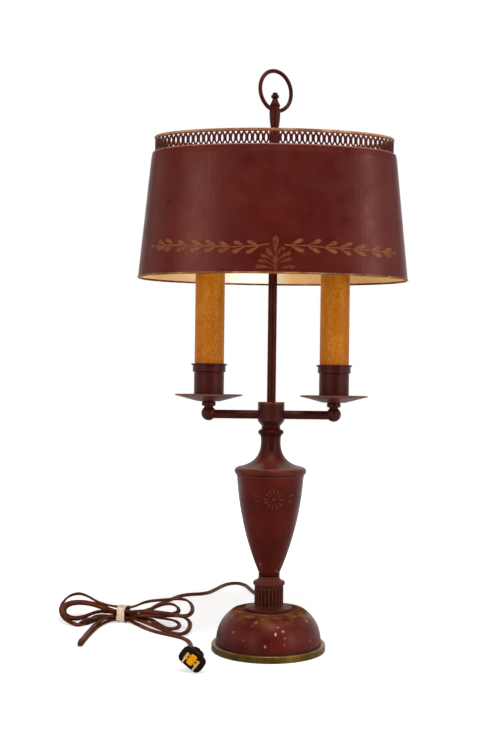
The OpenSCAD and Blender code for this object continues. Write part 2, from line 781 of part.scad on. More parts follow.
// Pierced sheet: tall lens slots, with a small triangle above and below each web
module gallery() {
    runs = oval_run(0, 0, oval_point(0, -gallery_inset));
    pitch = runs[len(runs) - 1][0] / gallery_cells;
    slot_w = pitch * 0.4;
    slot_h = gallery_h * 0.66;
    mid = shade_top + gallery_h / 2;
    color("peru") difference() {
        oval_sweep([[-gallery_inset, shade_top], [-gallery_inset, gallery_top],
            [-gallery_inset - gallery_wall, gallery_top], [-gallery_inset - gallery_wall, shade_top]]);
        for (i = [0 : gallery_cells - 1]) {
            a = lookup((i + 0.5) * pitch, runs);
            p = oval_point(a, -gallery_inset);
            turn = atan2(shade_a * sin(a), shade_b * cos(a)) - 90;
            translate([p[0], p[1], mid]) rotate([90, 0, turn])
                hull() linear_extrude(3 * gallery_wall, center = true)
                    polygon([for (s = [-1, 1]) for (q = [[0.2, -0.5], [0.5, 0], [0.2, 0.5]])
                        [s * q[0] * slot_w, s * q[1] * slot_h]]);
        }
    }
}

module gallery_rim() {
    out = 0.7 - gallery_inset;
    in = -gallery_inset - gallery_wall - 0.6;
    color("peru") oval_sweep([[out - 0.5, gallery_top], [out, gallery_top + 0.8],
        [out, gallery_top + gallery_rim_h - 0.9], [out - 0.8, gallery_top + gallery_rim_h],
        [in + 0.4, gallery_top + gallery_rim_h], [in, gallery_top + gallery_rim_h - 0.6],
        [in, gallery_top]]);
}

// ---- Cord and plug ----

// Tapered bushing at the back of the foot
module cord_bushing() {
    flange_y = dome_r + 0.1;
    color("black") translate([0, 0, bushing_z]) rotate([-90, 0, 0])
        turned([[2.7, dome_r - 5], [4.2, dome_r - 5], [4.2, flange_y], [5.5, flange_y],
            [5.5, flange_y + 1.8], [4.4, flange_y + 1.8], [3.5, flange_y + bushing_out],
            [2.7, flange_y + bushing_out]]);
}

module cord_lead() {
    color("saddlebrown") flat_cord(through(LEAD, 2));
}

module cord_tail() {
    color("saddlebrown") flat_cord(through(TAIL, 2));
}

module hank_place() {
    translate([tie_at[0], tie_at[1], 0]) rotate([0, 0, tie_turn]) children();
}

// Outer shape of the tied hank: two lobes, a waist and one fold that lies on the table
module cord_hank() {
    throat_r = 9;
    throat = tie_w / 2 + throat_r + 4;
    waist_l = 2 * throat;
    fold_r = 5;
    fold_h = 2.6 * cord_t;
    color("saddlebrown") union() {
        linear_extrude(hank_h) hull() {
            translate([-226, 139]) circle(r = 25, $fn = 32);
            translate([-224, 116]) circle(r = 19, $fn = 32);
            hank_place() translate([-throat, 0]) circle(r = throat_r, $fn = 32);
        }
        linear_extrude(hank_h) hull() {
            translate([-107, 112]) circle(r = 17, $fn = 32);
            translate([-109, 76]) circle(r = 18, $fn = 32);
            hank_place() translate([throat, 0]) circle(r = throat_r, $fn = 32);
        }
        linear_extrude(fold_h) hull() {
            translate([-197, 118]) circle(r = fold_r, $fn = 32);
            translate([-202.4, -3]) circle(r = fold_r, $fn = 32);
        }
        hank_place() translate([-waist_l / 2, -waist_w / 2, waist_z])
            cube([waist_l, waist_w, waist_h - waist_z]);
    }
}

module cord_tie() {
    color("peachpuff") hank_place() difference() {
        translate([-tie_w / 2, -waist_w / 2 - tie_t, waist_z - tie_t])
            cube([tie_w, waist_w + 2 * tie_t, waist_h - waist_z + 2 * tie_t]);
        translate([-tie_w, -waist_w / 2, waist_z]) cube([2 * tie_w, waist_w, waist_h - waist_z]);
    }
}

module plug_place() {
    translate(plug_at) rotate([0, 0, plug_yaw]) rotate([plug_pitch, 0, 0])
        rotate([0, plug_roll, 0]) children();
}

// Outline across the plug, a rectangle with cut corners
module plug_face(width, height) {
    cut = 3;
    w = width / 2;
    h = height / 2;
    polygon([[-w, cut - h], [cut - w, -h], [w - cut, -h], [w, cut - h],
        [w, h - cut], [w - cut, h], [cut - w, h], [-w, h - cut]]);
}

// Wide flange at the face, a narrower grip behind it, and a nose round the cord
module plug_body() {
    color("black") plug_place() union() {
        rotate([-90, 0, 0]) linear_extrude(plug_flange) plug_face(plug_w, plug_h);
        translate([0, plug_flange - 1, 0]) rotate([-90, 0, 0])
            linear_extrude(plug_depth - plug_flange + 1) plug_face(plug_grip_w, plug_h - 0.4);
        hull() {
            translate([0, plug_depth - 0.5, 0]) rotate([-90, 0, 0])
                linear_extrude(1) plug_face(plug_grip_w * 0.86, plug_h * 0.86);
            translate([0, plug_back - 1, 0]) rotate([-90, 0, 0])
                cylinder(r = cord_w / 2 + 1.4, h = 1, $fn = 32);
        }
    }
}

module blades(grow) {
    for (s = [-1, 1]) translate([s * blade_gap / 2 - blade_t / 2, -blade_l, -blade_w / 2])
        translate([-grow, 0, -grow]) cube([blade_t + 2 * grow, blade_l, blade_w + 2 * grow]);
}

// Card on the plug's face, slotted for the blades
module plug_insulator() {
    plate = 0.8;
    color("orange") plug_place() difference() {
        translate([-8.4, -plate, -4.2]) cube([16.8, plate, 8.4]);
        blades(0.1);
    }
}

module plug_blades() {
    color("gold") plug_place() blades(0);
}

base_felt();
base_ring();
base_dome();
base_weight();
base_washer();
pipe_nuts();
stem_pipe();
check_ring();
fluted_column();
column_cap();
vase_bead();
vase_body();
vase_lid();
neck_bead();
arm_hub();
hub_rim();
inner_wire();
arm_tube(LEFT);  // left_arm_tube
arm_ball(LEFT);  // left_arm_ball
cup_collar(LEFT);  // left_cup_collar
drip_pan(LEFT);  // left_drip_pan
candle_cup(LEFT);  // left_candle_cup
candle_sleeve(LEFT);  // left_candle_sleeve
socket_post(LEFT);  // left_socket_post
socket(LEFT);  // left_socket
screw_shell(LEFT);  // left_screw_shell
bulb_glass(LEFT);  // left_bulb_glass
bulb_cap(LEFT);  // left_bulb_cap
switch_key(LEFT);  // left_switch_key
arm_tube(RIGHT);  // right_arm_tube
arm_ball(RIGHT);  // right_arm_ball
cup_collar(RIGHT);  // right_cup_collar
drip_pan(RIGHT);  // right_drip_pan
candle_cup(RIGHT);  // right_candle_cup
candle_sleeve(RIGHT);  // right_candle_sleeve
socket_post(RIGHT);  // right_socket_post
socket(RIGHT);  // right_socket
screw_shell(RIGHT);  // right_screw_shell
bulb_glass(RIGHT);  // right_bulb_glass
bulb_cap(RIGHT);  // right_bulb_cap
switch_key(RIGHT);  // right_switch_key
centre_rod();
finial_neck();
finial();
finial_ring();
shade_collar();
collar_screw();
shade_spider();
shade_body();
shade_bead();
gallery();
gallery_rim();
cord_bushing();
cord_lead();
cord_hank();
cord_tail();
cord_tie();
plug_body();
plug_insulator();
plug_blades();
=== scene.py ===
"""Bouillotte lamp: looks, cord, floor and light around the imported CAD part.

The frame is +Z up and +X right, and the photograph looks along +Y. Lengths are in metres,
except where a comment says mm. Places named with "px" are pixels of the 504 x 756 view.
"""

import math

import bpy
import numpy as np
from mathutils import Matrix, Vector, geometry, noise
from mathutils.bvhtree import BVHTree


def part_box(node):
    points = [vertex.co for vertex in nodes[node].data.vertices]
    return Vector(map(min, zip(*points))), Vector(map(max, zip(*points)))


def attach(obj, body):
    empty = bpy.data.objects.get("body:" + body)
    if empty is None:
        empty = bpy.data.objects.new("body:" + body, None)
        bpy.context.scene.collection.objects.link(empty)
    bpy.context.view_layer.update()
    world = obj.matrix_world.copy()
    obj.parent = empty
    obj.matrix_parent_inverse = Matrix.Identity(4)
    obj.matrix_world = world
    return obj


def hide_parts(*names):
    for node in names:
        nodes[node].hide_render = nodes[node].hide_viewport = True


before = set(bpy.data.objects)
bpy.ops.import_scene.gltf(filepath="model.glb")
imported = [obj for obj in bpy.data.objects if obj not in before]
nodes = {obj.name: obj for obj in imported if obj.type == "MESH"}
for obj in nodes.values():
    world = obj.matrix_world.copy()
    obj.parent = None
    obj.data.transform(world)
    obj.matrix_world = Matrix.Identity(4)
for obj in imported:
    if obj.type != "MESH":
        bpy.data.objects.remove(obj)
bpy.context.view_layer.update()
scene = bpy.context.scene

# ---- Camera: the photograph's viewpoint ----

PHOTO_W, PHOTO_H = 504, 756
FOCAL_PX = 1020
AXIS_X, AXIS_Y = 271.45, 388.0  # pixel that the view axis meets
LEAN = 0.0125  # of the camera, in radians
EYE_BACK, EYE_UP = 1100, 281.5  # mm from the foot's middle
SENSOR = 36  # mm
VIEW = (
    Matrix.Translation((0, -EYE_BACK / 1000, EYE_UP / 1000))
    @ Matrix.Rotation(-LEAN, 4, "Y")
    @ Matrix.Rotation(math.pi / 2, 4, "X")
)

camera = bpy.data.objects.new("camera", bpy.data.cameras.new("camera"))
scene.collection.objects.link(camera)
camera.data.sensor_width = SENSOR
camera.data.lens = FOCAL_PX / PHOTO_H * SENSOR
camera.data.shift_x = -(AXIS_X - PHOTO_W / 2) / PHOTO_H
camera.data.shift_y = (AXIS_Y - PHOTO_H / 2) / PHOTO_H
camera.matrix_world = VIEW
scene.camera = camera

TREES = {}


def on_surface(px, py, node):
    """Point and outward normal where the view through a pixel meets a CAD node."""
    if node not in TREES:
        piece = nodes[node]
        at = [piece.matrix_world @ v.co for v in piece.data.vertices]
        TREES[node] = BVHTree.FromPolygons(at, [p.vertices for p in piece.data.polygons])
    local = Vector(((px - AXIS_X) / FOCAL_PX, (AXIS_Y - py) / FOCAL_PX, -1))
    way = (VIEW.to_3x3() @ local).normalized()
    return TREES[node].ray_cast(VIEW.translation, way)[:2]


# ---- Mesh helpers ----


def mesh_object(name, points, faces, slot, body="lamp", smooth=True):
    """A mesh piece from points in metres, which rides on a body."""
    mesh = bpy.data.meshes.new(name)
    mesh.from_pydata([tuple(p) for p in points], [], faces)
    mesh.update()
    if smooth:
        mesh.shade_smooth()
    piece = bpy.data.objects.new(name, mesh)
    scene.collection.objects.link(piece)
    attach(piece, body)
    return piece


def curve_through(keys, steps):
    """Centripetal Catmull-Rom curve through the rows of keys, whose places are columns 0 to 2."""

    def between(p, q, i, j):
        return p + (q - p) * (u - t[i]) / (t[j] - t[i])

    rows = [2 * keys[0] - keys[1], *keys, 2 * keys[-1] - keys[-2]]
    out = []
    for a, b, c, d in zip(rows, rows[1:], rows[2:], rows[3:]):
        t = [0]
        for p, q in ((a, b), (b, c), (c, d)):
            t.append(t[-1] + max(np.linalg.norm((q - p)[:3]), 1e-6) ** 0.5)
        for k in range(steps):
            u = t[1] + (t[2] - t[1]) * k / steps
            ab, bc, cd = between(a, b, 0, 1), between(b, c, 1, 2), between(c, d, 2, 3)
            out.append(between(between(ab, bc, 0, 2), between(bc, cd, 1, 3), 1, 2))
    out.append(keys[-1])
    return np.array(out)


def unit(vectors):
    return vectors / np.linalg.norm(vectors, axis=1)[:, None]


def lengths(line):
    """Length along a line up to each of its points."""
    steps = np.linalg.norm(np.diff(line[:, :3], axis=0), axis=1)
    return np.concatenate([[0], np.cumsum(steps)])


def respaced(line, step):
    """The same line with points a step apart."""
    along = lengths(line)
    at = np.linspace(0, along[-1], int(along[-1] / step) + 1)
    return np.stack([np.interp(at, along, column) for column in line.T], 1)


def skin(rings, closed=False):
    """Faces over equal rings of points, with end caps unless the rings close a loop."""
    count, size = len(rings), len(rings[0])
    points = [p for ring in rings for p in ring]
    faces = []
    for i in range(count if closed else count - 1):
        for j in range(size):
            a, b = i * size, (i + 1) % count * size
            k = (j + 1) % size
            faces.append((a + j, a + k, b + k, b + j))
    if not closed:
        faces.append(tuple(range(size))[::-1])
        faces.append(tuple((count - 1) * size + j for j in range(size)))
    return points, faces


def plate(outline, holes):
    """Triangles of a flat outline with holes, as 2-D points and faces."""
    points, faces, edges = [], [], []
    for loop in (outline, *holes):
        start = len(points)
        points += [Vector(p) for p in loop]
        ring = list(range(start, len(points)))
        edges += list(zip(ring, ring[1:] + ring[:1]))
        faces.append(ring)
    flat, _, tris, _, _, source = geometry.delaunay_2d_cdt(points, edges, faces, 0, 1e-6)
    kept = [t for t, s in zip(tris, source) if list(s) == [0]]
    return flat, kept


def thick(front, back, tris):
    """Closed sheet between two equal sets of points that share their triangles."""
    size = len(front)
    sides = {}
    for tri in tris:
        for a, b in zip(tri, tri[1:] + tri[:1]):
            if not sides.pop((b, a), False):
                sides[(a, b)] = True
    faces = [tuple(t) for t in tris] + [tuple(i + size for i in t[::-1]) for t in tris]
    faces += [(b, a, a + size, b + size) for a, b in sides]
    return list(front) + list(back), faces


# ---- Cord: from the foot, folded into a tied hank, to the plug. All sizes in mm ----

CORD_W, CORD_T = 5.2, 2.7
TABLE_GAP = 0.02  # between the cord and the table


def lying(*points):
    """Keys of cord that lies on the table."""
    return [(x, y, 1.4) for x, y in points]


LEAD = [
    (0, 78.6, 16), (0, 92, 15.4), (0.5, 108, 11.5), (1.5, 125, 5.5), (3, 143, 1.9),
    *lying((5, 167), (5, 195), (1, 225), (-6, 252), (-15, 276), (-22, 298), (-28, 322),
           (-35, 345), (-46, 357), (-58, 350), (-67, 331), (-75, 306), (-83, 287), (-93, 278),
           (-106, 274), (-117, 264), (-127, 243), (-134, 225), (-142, 204)),
    (-147, 182, 1.5), (-153, 160, 2), (-157, 146, 2.6),
]
TAIL = [
    (-154, 99, 1.6),
    *lying((-143, 82), (-131, 67), (-120, 57), (-110, 49), (-100, 41), (-92, 31), (-86.5, 17),
           (-83.5, 0)),
    (-81.3, -14, 2.4), (-77, -31, 6.6), (-72.6, -50, 12.2), (-71.3, -72.7, 14.5),
]
TIE_AT, TIE_TURN, TIE_W = (-173.5, 119.5), -14, 10
TIE_REACH = 9  # from its middle to a strand's first and last row there
# Where a strand passes the tie: across the hank, and height
SLOTS = {
    "A": (6, 3.4), "B": (1.5, 17), "C": (-4.5, 13.4), "D": (6, 10.2), "E": (6, 6.8),
    "F": (0, 10.2), "G": (0, 3.4), "H": (0, 6.8), "I": (-6, 6.8), "J": (-6, 3.4),
}


def rows(roll, points):
    """Rows of the route: x, y, z and the cord's roll in degrees."""
    return [(*p, roll) for p in points]


def through_tie(slot, way):
    """Three rows through the tie, to the right for way 1 and to the left for -1."""
    turn = Matrix.Rotation(math.radians(TIE_TURN), 2)
    across, height = SLOTS[slot]
    out = []
    for along in (-TIE_REACH * way, 0, TIE_REACH * way):
        p = turn @ Vector((along, across))
        out.append((TIE_AT[0] + p.x, TIE_AT[1] + p.y, height, 0))
    return out


def loop(roll, *seen):
    """Rows of a loop, each given by its pixel in the view and its height in mm."""
    out = []
    for px, py, z in seen:
        depth = FOCAL_PX * (EYE_UP - z) / (py - AXIS_Y)
        x = (px - AXIS_X + LEAN * (py - AXIS_Y)) * depth / FOCAL_PX
        out.append((x, depth - EYE_BACK, z, roll))
    return out


CORD = [
    *rows(0, LEAD[:6]), *rows(36, LEAD[6:-1]), *rows(15, LEAD[-1:]), *through_tie("A", -1),
    # Outer left loop, from below to above
    *loop(20, (99.7, 617.7, 3.6), (89.7, 622.2, 3), (79.6, 626.9, 2.8)),
    *loop(35, (69.2, 624, 4.5), (63.2, 618.7, 8), (60.7, 612.7, 13), (61.7, 607.7, 17.5),
          (66.7, 600.6, 24), (76.2, 596, 27.5), (82.3, 596.5, 27.5), (89.7, 599.5, 25),
          (100.7, 605.2, 20.5)),
    *through_tie("B", 1),
    # Right loop on top
    *loop(30, (144.4, 603.8, 22), (165.5, 601, 26), (183.7, 600.3, 27), (190.7, 604.5, 24.5),
          (192.4, 611.5, 19.5), (185.8, 617.4, 16.5), (173.9, 615.7, 16.5), (158.5, 613.8, 16.5),
          (142.2, 612.7, 15.5)),
    *through_tie("C", -1),
    # Second left loop
    *loop(50, (97.7, 607, 18), (82.3, 604.2, 20.5), (70.1, 605.2, 20.5), (63.5, 609.2, 18),
          (62.9, 614.2, 14), (66.7, 619.5, 9.5), (73.1, 621.6, 7.5), (82.3, 620.2, 8),
          (97.7, 613.8, 10.5)),
    *through_tie("D", 1),
    # Right loop inside the top one
    *loop(30, (149.2, 610.8, 14.5), (162.2, 606.2, 20), (171.6, 605, 21), (178.5, 609.4, 17),
          (177.7, 614, 13.5), (167.2, 615.4, 12.2), (151.2, 615, 10)),
    *through_tie("E", -1),
    # Third left loop, inside the second
    *loop(50, (98.7, 608.5, 14), (83.3, 605.4, 16.5), (71.3, 606.5, 16.5), (65.3, 610, 14.3),
          (64.7, 614, 10.8), (68.3, 618.5, 6.6), (74.1, 620.2, 5), (82.7, 619, 5.6),
          (97.7, 614, 8)),
    *through_tie("F", 1),
    # Right loop below, inner
    *loop(20, (147.2, 617.3, 9), (162.2, 619.8, 8), (173.2, 621.4, 7.5), (179, 625, 6),
          (177.2, 629.1, 4.5), (169.2, 630.4, 4.2), (159.2, 626.2, 4.6), (147.2, 620.3, 5)),
    *through_tie("G", -1),
    # Short fold on the left
    *loop(0, (102.7, 620.7, 3), (90.7, 624.2, 2.4), (83.7, 626.4, 2), (80, 626.5, 3.2),
          (80, 623.8, 6.5), (83.7, 622.2, 7.6), (90.7, 621, 7.4), (102.7, 618.6, 7)),
    *through_tie("H", 1),
    # Right loop below, outer
    *loop(20, (147.2, 617.4, 12), (164.2, 617.6, 12.8), (179.2, 617.4, 13), (187.7, 620.4, 11),
          (190, 625.8, 7.5), (187.6, 631.8, 4), (180.8, 635.4, 2.8), (171.6, 634, 2.8),
          (157.2, 628.4, 3), (142.2, 622.7, 4.4)),
    *through_tie("I", -1),
    # Long fold towards the front
    *rows(0, [(-190, 113, 6.6), (-196.5, 101, 5.6), (-200.5, 84, 4.8), (-202, 64, 4.5),
              (-203, 40, 4.4), (-203, 18, 4.6), (-202.6, 3, 6), (-202.5, -4.5, 5.6),
              (-202.4, -7, 3.9), (-202.5, -4.5, 2), (-202.6, 3, 1.4), (-202.6, 18, 1.4),
              (-202, 40, 1.4), (-200.6, 64, 1.4), (-198.6, 84, 1.5), (-194.5, 101, 2),
              (-188.5, 112, 2.8)]),
    *through_tie("J", 1),
    *rows(-12, TAIL[:-4]), (*TAIL[-4], 0), (*TAIL[-3], 10), (*TAIL[-2], 25), (*TAIL[-1], 38),
]


# Length of cord before the hank, and after it
HANK_START, HANK_END = 430, 235


def bends(line):
    """How far each point is from the middle between its neighbours."""
    out = np.zeros_like(line)
    out[1:-1] = (line[:-2] + line[2:]) / 2 - line[1:-1]
    return out


def settled(path, step):
    """The hank's strands pushed apart where they would pass through each other."""
    clear, flatten = 3.3, np.array([1, 1, 1.15])
    rounds, between_searches, search, neighbours = 400, 20, clear + 2, 5
    # How much of each move is made: apart, back home, and evened out
    apart, back, even = 0.6, 0.02, 0.25
    first, last = int(HANK_START / step), len(path) - int(HANK_END / step)
    lowest = CORD_T / 2 + 0.03
    home, path = path, path.copy()
    for turn in range(rounds):
        tight = path * flatten
        if turn % between_searches == 0:
            away = np.linalg.norm(tight[:, None] - tight[None], axis=2)
            i, j = np.nonzero(np.triu(away < search, neighbours))
        gap = tight[i] - tight[j]
        length = np.linalg.norm(gap, axis=1)
        near = (length < clear)[:, None]
        push = np.where(near, (clear - length)[:, None] * gap / (length[:, None] + 1e-9) / 2, 0)
        force, touched = np.zeros_like(path), np.zeros((len(path), 1))
        for ends, sign in ((i, 1), (j, -1)):
            np.add.at(force, ends, sign * push)
            np.add.at(touched, ends, near)
        moved = path + apart * force / np.maximum(touched, 1)
        moved += back * (home - moved)
        moved -= even * bends(bends(moved))
        path[first:last] = moved[first:last]
        path[:, 2] = np.maximum(path[:, 2], lowest)
    return path


def cord_rings():
    """Centreline in metres and its rings: two round cores side by side, turned by each roll."""
    first_step, last_step = 3.0, 3.2
    line = respaced(curve_through(np.array(CORD, float), 8), first_step)
    line[:, :3] = settled(line[:, :3], first_step)
    # Every third point and the last one carry a smoother curve
    line = respaced(curve_through(np.vstack([line[:-2:3], line[-1:]]), 4), last_step)
    path = line[:, :3]
    tangent = unit(np.gradient(path, axis=0))
    level = np.cross(tangent, [0, 0, 1])
    weight = np.linalg.norm(level, axis=1)
    level /= np.maximum(weight, 1e-6)[:, None]
    up = np.cross(level, tangent)
    roll = np.radians(line[:, 3])[:, None]
    wide = level * np.cos(roll) + up * np.sin(roll)
    for i in range(1, len(wide)):
        if wide[i] @ wide[i - 1] < 0:
            wide[i] *= -1
    # The roll is evened out. Points where the cord stands upright count least
    reach, spread = 4, 1.6
    kernel = np.exp(-0.5 * (np.arange(-reach, reach + 1) / spread) ** 2)
    padded = [np.pad(c * (weight + 0.05), reach, mode="edge") for c in wide.T]
    soft = np.stack([np.convolve(c, kernel, "valid") for c in padded], 1)
    soft -= tangent * (soft * tangent).sum(1)[:, None]
    wide = unit(soft)
    thin = np.cross(tangent, wide)
    core, apart = CORD_T / 2, (CORD_W - CORD_T) / 2
    # The lowest point of the section rests on the table, or above it
    path[:, 2] = np.maximum(path[:, 2], core + apart * np.abs(wide[:, 2]) + TABLE_GAP)
    section = []
    for side in (1, -1):
        # Each core is round but for the part where it meets the other
        for degrees in range(-115, 116, 38):
            c, s = math.cos(math.radians(degrees)), math.sin(math.radians(degrees))
            section.append((side * (apart + core * c), side * core * s))
    rings = [[(p + w * u + n * v) / 1000 for u, v in section]
             for p, w, n in zip(path, wide, thin)]
    return path / 1000, rings


cord_path, rings = cord_rings()
cord = mesh_object("cord", *skin(rings), slot="cord_vinyl")
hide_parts("cord_lead", "cord_hank", "cord_tail")

# ---- Paper tie round the hank: a crumpled band, sizes in mm as in part.scad ----

TIE_HALF_W, TIE_LOW, TIE_HIGH = 10.7, -0.6, 19.4
TIE_LIFT = 0.15  # of its lowest points over the table


def tie_band():
    """Rings across the band, from its left edge to its right, over the outside and back inside."""
    turn = Matrix.Rotation(math.radians(TIE_TURN), 3, "Z")
    mid = (TIE_LOW + TIE_HIGH) / 2
    # Half sizes inside the folds
    half_w, half_h = TIE_HALF_W - 0.9, (TIE_HIGH - TIE_LOW) / 2 - 0.75
    count, squareness = 72, 0.62
    sheet, fold_depth, crease_depth = 0.55, 0.55, 0.16
    rings = []
    outside = [(-0.5 + i / 20, 1.0) for i in range(21)]
    inside = [(0.5 - i / 8, 0.0) for i in range(9)]
    for across, proud in outside + inside:
        ring = []
        for j in range(count):
            a = 2 * math.pi * j / count
            c, s = math.cos(a), math.sin(a)
            ragged = 0.9 * noise.noise(Vector((c * 2.2, s * 2.2, 4 if across > 0 else 9)))
            # The band is pulled in at its middle and has sharp lengthwise folds
            pulled = 1 - 0.07 * math.exp(-((across / 0.3) ** 2))
            folds = noise.noise(Vector((across * 11 + 0.5 * c, c * 2.4, s * 2.4)))
            creases = noise.ridged_multi_fractal(
                Vector((across * 4, c * 3.2, s * 3.2)), 0.9, 2.1, 3, 0.9, 2.0
            )
            out = sheet * proud + fold_depth * folds - crease_depth * (creases - 1.2) * proud
            y = math.copysign(abs(c) ** squareness, c) * (half_w * pulled + out)
            z = math.copysign(abs(s) ** squareness, s) * (half_h * pulled + out)
            x = across * TIE_W * (1 - 0.08 * math.cos(2 * a)) + ragged * 2 * abs(across)
            place = turn @ Vector((x, y, 0))
            at = (place.x + TIE_AT[0], place.y + TIE_AT[1], max(z + mid, TIE_LIFT))
            ring.append(tuple(v / 1000 for v in at))
        rings.append(ring)
    return rings


tie = mesh_object("tie_band", *skin(tie_band(), closed=True), slot="tie_paper")
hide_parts("cord_tie")

# ---- Plug, in its own axes in mm: x between the blades, y away from the face, z across ----

PLUG_AT, PLUG_YAW, PLUG_PITCH, PLUG_ROLL = (-74.9, -98.4, 13.6), -8, 2, 38
PLUG_W, PLUG_H, GRIP_W = 27, 17.6, 16.6
CORNER_CUT, SQUARENESS = 3.2, 14
RIBS, RIB_FROM, RIB_PITCH, RIB_DEPTH = 19, 4.6, 0.5, 0.22
NOSE_FROM, NOSE_LENGTH, NOSE_D = 14, 12, 7.8
CARD_T = 0.75
PLUG = (
    Matrix.Translation(PLUG_AT)
    @ Matrix.Rotation(math.radians(PLUG_YAW), 4, "Z")
    @ Matrix.Rotation(math.radians(PLUG_PITCH), 4, "X")
    @ Matrix.Rotation(math.radians(PLUG_ROLL), 4, "Y")
)


def plug_ring(y, width, height, round_share=0.0, count=48):
    """One turn round the plug: a rectangle with cut corners that turns into a circle."""
    ring = []
    for i in range(count):
        a = 2 * math.pi * i / count
        c, s = math.cos(a), math.sin(a)
        w, h = width / 2, height / 2
        # Distance to the rectangle's side and to the cut corner
        side = min(w / max(abs(c), 1e-6), h / max(abs(s), 1e-6))
        corner = (w + h - CORNER_CUT) / (abs(c) + abs(s))
        r = (side**-SQUARENESS + corner**-SQUARENESS) ** (-1 / SQUARENESS)
        r = r * (1 - round_share) + min(w, h) * round_share
        ring.append(PLUG @ Vector((r * c, y, r * s)) / 1000)
    return ring


def plug_shell():
    """Flange with rounded edges, ribbed grip, and a nose that narrows to the cord."""
    flange = ((0, 1.6), (0.12, 0.8), (0.4, 0.25), (0.9, 0), (3.3, 0), (3.8, 0.3), (4, 0.9))
    rings = [plug_ring(y, PLUG_W - inset, PLUG_H - inset) for y, inset in flange]
    rings.append(plug_ring(4.05, GRIP_W - 0.4, PLUG_H - 1.2))
    for i in range(RIBS):
        rib = RIB_DEPTH * math.cos(i * math.pi)
        y = RIB_FROM + i * RIB_PITCH
        rings.append(plug_ring(y, GRIP_W - 0.5 + rib, PLUG_H - 1.0 + rib))
    for i in range(9):
        t = i / 8
        left = (1 - t) ** 1.5
        y = NOSE_FROM + NOSE_LENGTH * t
        rings.append(plug_ring(y, NOSE_D + 8 * left, NOSE_D + 8.4 * left, t))
    return rings


plug = mesh_object("plug_shell", *skin(plug_shell()), slot="plug_black")
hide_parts("plug_body")


def arc(x, z, r, start, end, steps):
    """Points of an arc round x, z, between two angles in degrees."""
    turns = [math.radians(start + (end - start) * i / steps) for i in range(steps + 1)]
    return [(x + r * math.cos(a), z + r * math.sin(a)) for a in turns]


def plug_card():
    """Fibre card with a round middle, four notches, and a slot and a square hole at each end."""
    quarter = [
        (7.9, 0), (7.9, 1.2), *arc(7.3, 2.9, 0.6, 0, 90, 3), *arc(5.5, 2.9, 0.6, 90, 180, 3),
        *arc(3.9, 3.7, 1.1, -10, -170, 6), *arc(1.8, 3.9, 1.5, 0, 80, 5), (0, 5.5),
    ]
    half = quarter + [(-x, z) for x, z in quarter[-2::-1]]
    outline = half + [(x, -z) for x, z in half[-2:0:-1]]
    holes = []
    for side in (1, -1):
        # Middle, half width, lower and upper end
        for x, half_w, low, high in ((6.35, 0.86, -3.3, 3.3), (4.3, 0.95, -0.75, 1.2)):
            left, right = side * x - half_w, side * x + half_w
            holes.append([(left, low), (right, low), (right, high), (left, high)])
    return plate(outline, holes)


flat, tris = plug_card()
front = [PLUG @ Vector((p.x, -CARD_T, p.y)) / 1000 for p in flat]
back = [PLUG @ Vector((p.x, 0.0, p.y)) / 1000 for p in flat]
card = mesh_object("plug_card", *thick(front, back, tris), slot="plug_card", smooth=False)
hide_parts("plug_insulator")

# ---- Gallery: a pierced band round the top of the shade, sizes in mm as in part.scad ----

SHADE_A, SHADE_B = 131.4, 47.0
GALLERY_INSET, GALLERY_WALL, GALLERY_CELLS = 2.7, 0.8, 100
BAND_LOW, BAND_HIGH = (corner.z * 1000 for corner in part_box("gallery"))


def oval_point(angle, out):
    """Point beside the shade's oval, out from it square to its side."""
    c, s = math.cos(angle), math.sin(angle)
    size = math.hypot(SHADE_B * c, SHADE_A * s)
    return SHADE_A * c + out * SHADE_B * c / size, SHADE_B * s + out * SHADE_A * s / size


def gallery_cell(pitch, height):
    """One cell of the band, with a lens-shaped slit between its two half webs.

    A small triangle is cut above and below each web, so each corner of the cell holds
    half of one.
    """
    rim_less = 0.9  # the upper edge is this much narrower than the lower one
    slit_half_w, slit_half_h, steps = 1.15, 4.2, 16
    corner = [(0, 4.4), (0.45, 3.9), (1.05, 2.7), (1.5, 1.6), (0, 1.6)]
    upper = [(x, height - (v - rim_less)) for x, v in corner]
    right = [(pitch - x, v) for x, v in corner[::-1] + upper]
    outline = [(0, 0), (pitch, 0), *right, (pitch, height), (0, height), *upper[::-1], *corner]
    slit = []
    for i in range(steps):
        t = 2 * math.pi * i / steps
        along = math.sin(t)
        half = slit_half_w * (1 - abs(along) ** 2.2) ** 0.6
        x = pitch / 2 + half * math.copysign(1, math.cos(t))
        slit.append((x, height / 2 + slit_half_h * along))
    slit = [p for i, p in enumerate(slit) if i == 0 or math.dist(p, slit[i - 1]) > 0.05]
    return plate(outline, [slit])


def gallery_lace():
    """The cells bent round the oval. Points that two cells share are kept once."""
    angles = np.linspace(0, 2 * math.pi, 4001)
    ring = np.array([oval_point(a, -GALLERY_INSET) for a in angles])
    along = lengths(ring)
    pitch = along[-1] / GALLERY_CELLS
    flat, tris = gallery_cell(pitch, BAND_HIGH - BAND_LOW)
    places, faces = {}, []
    for cell in range(GALLERY_CELLS):
        ids = []
        for p in flat:
            column = round(cell * pitch + p.x, 3)
            if column > along[-1] - 0.002:
                column = 0.0
            ids.append(places.setdefault((column, round(p.y, 3)), len(places)))
        faces += [tuple(ids[k] for k in tri) for tri in tris]
    front, back = [], []
    for column, v in places:
        a = float(np.interp(column, along, angles))
        for side, out in ((front, 0), (back, -GALLERY_WALL)):
            x, y = oval_point(a, out - GALLERY_INSET)
            side.append((x / 1000, y / 1000, (BAND_LOW + v) / 1000))
    return thick(front, back, faces)


lace = mesh_object("gallery_lace", *gallery_lace(), body="shade", slot="gilt_trim", smooth=False)
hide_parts("gallery")

# ---- Stencilled ornament, placed by pixels of the view ----

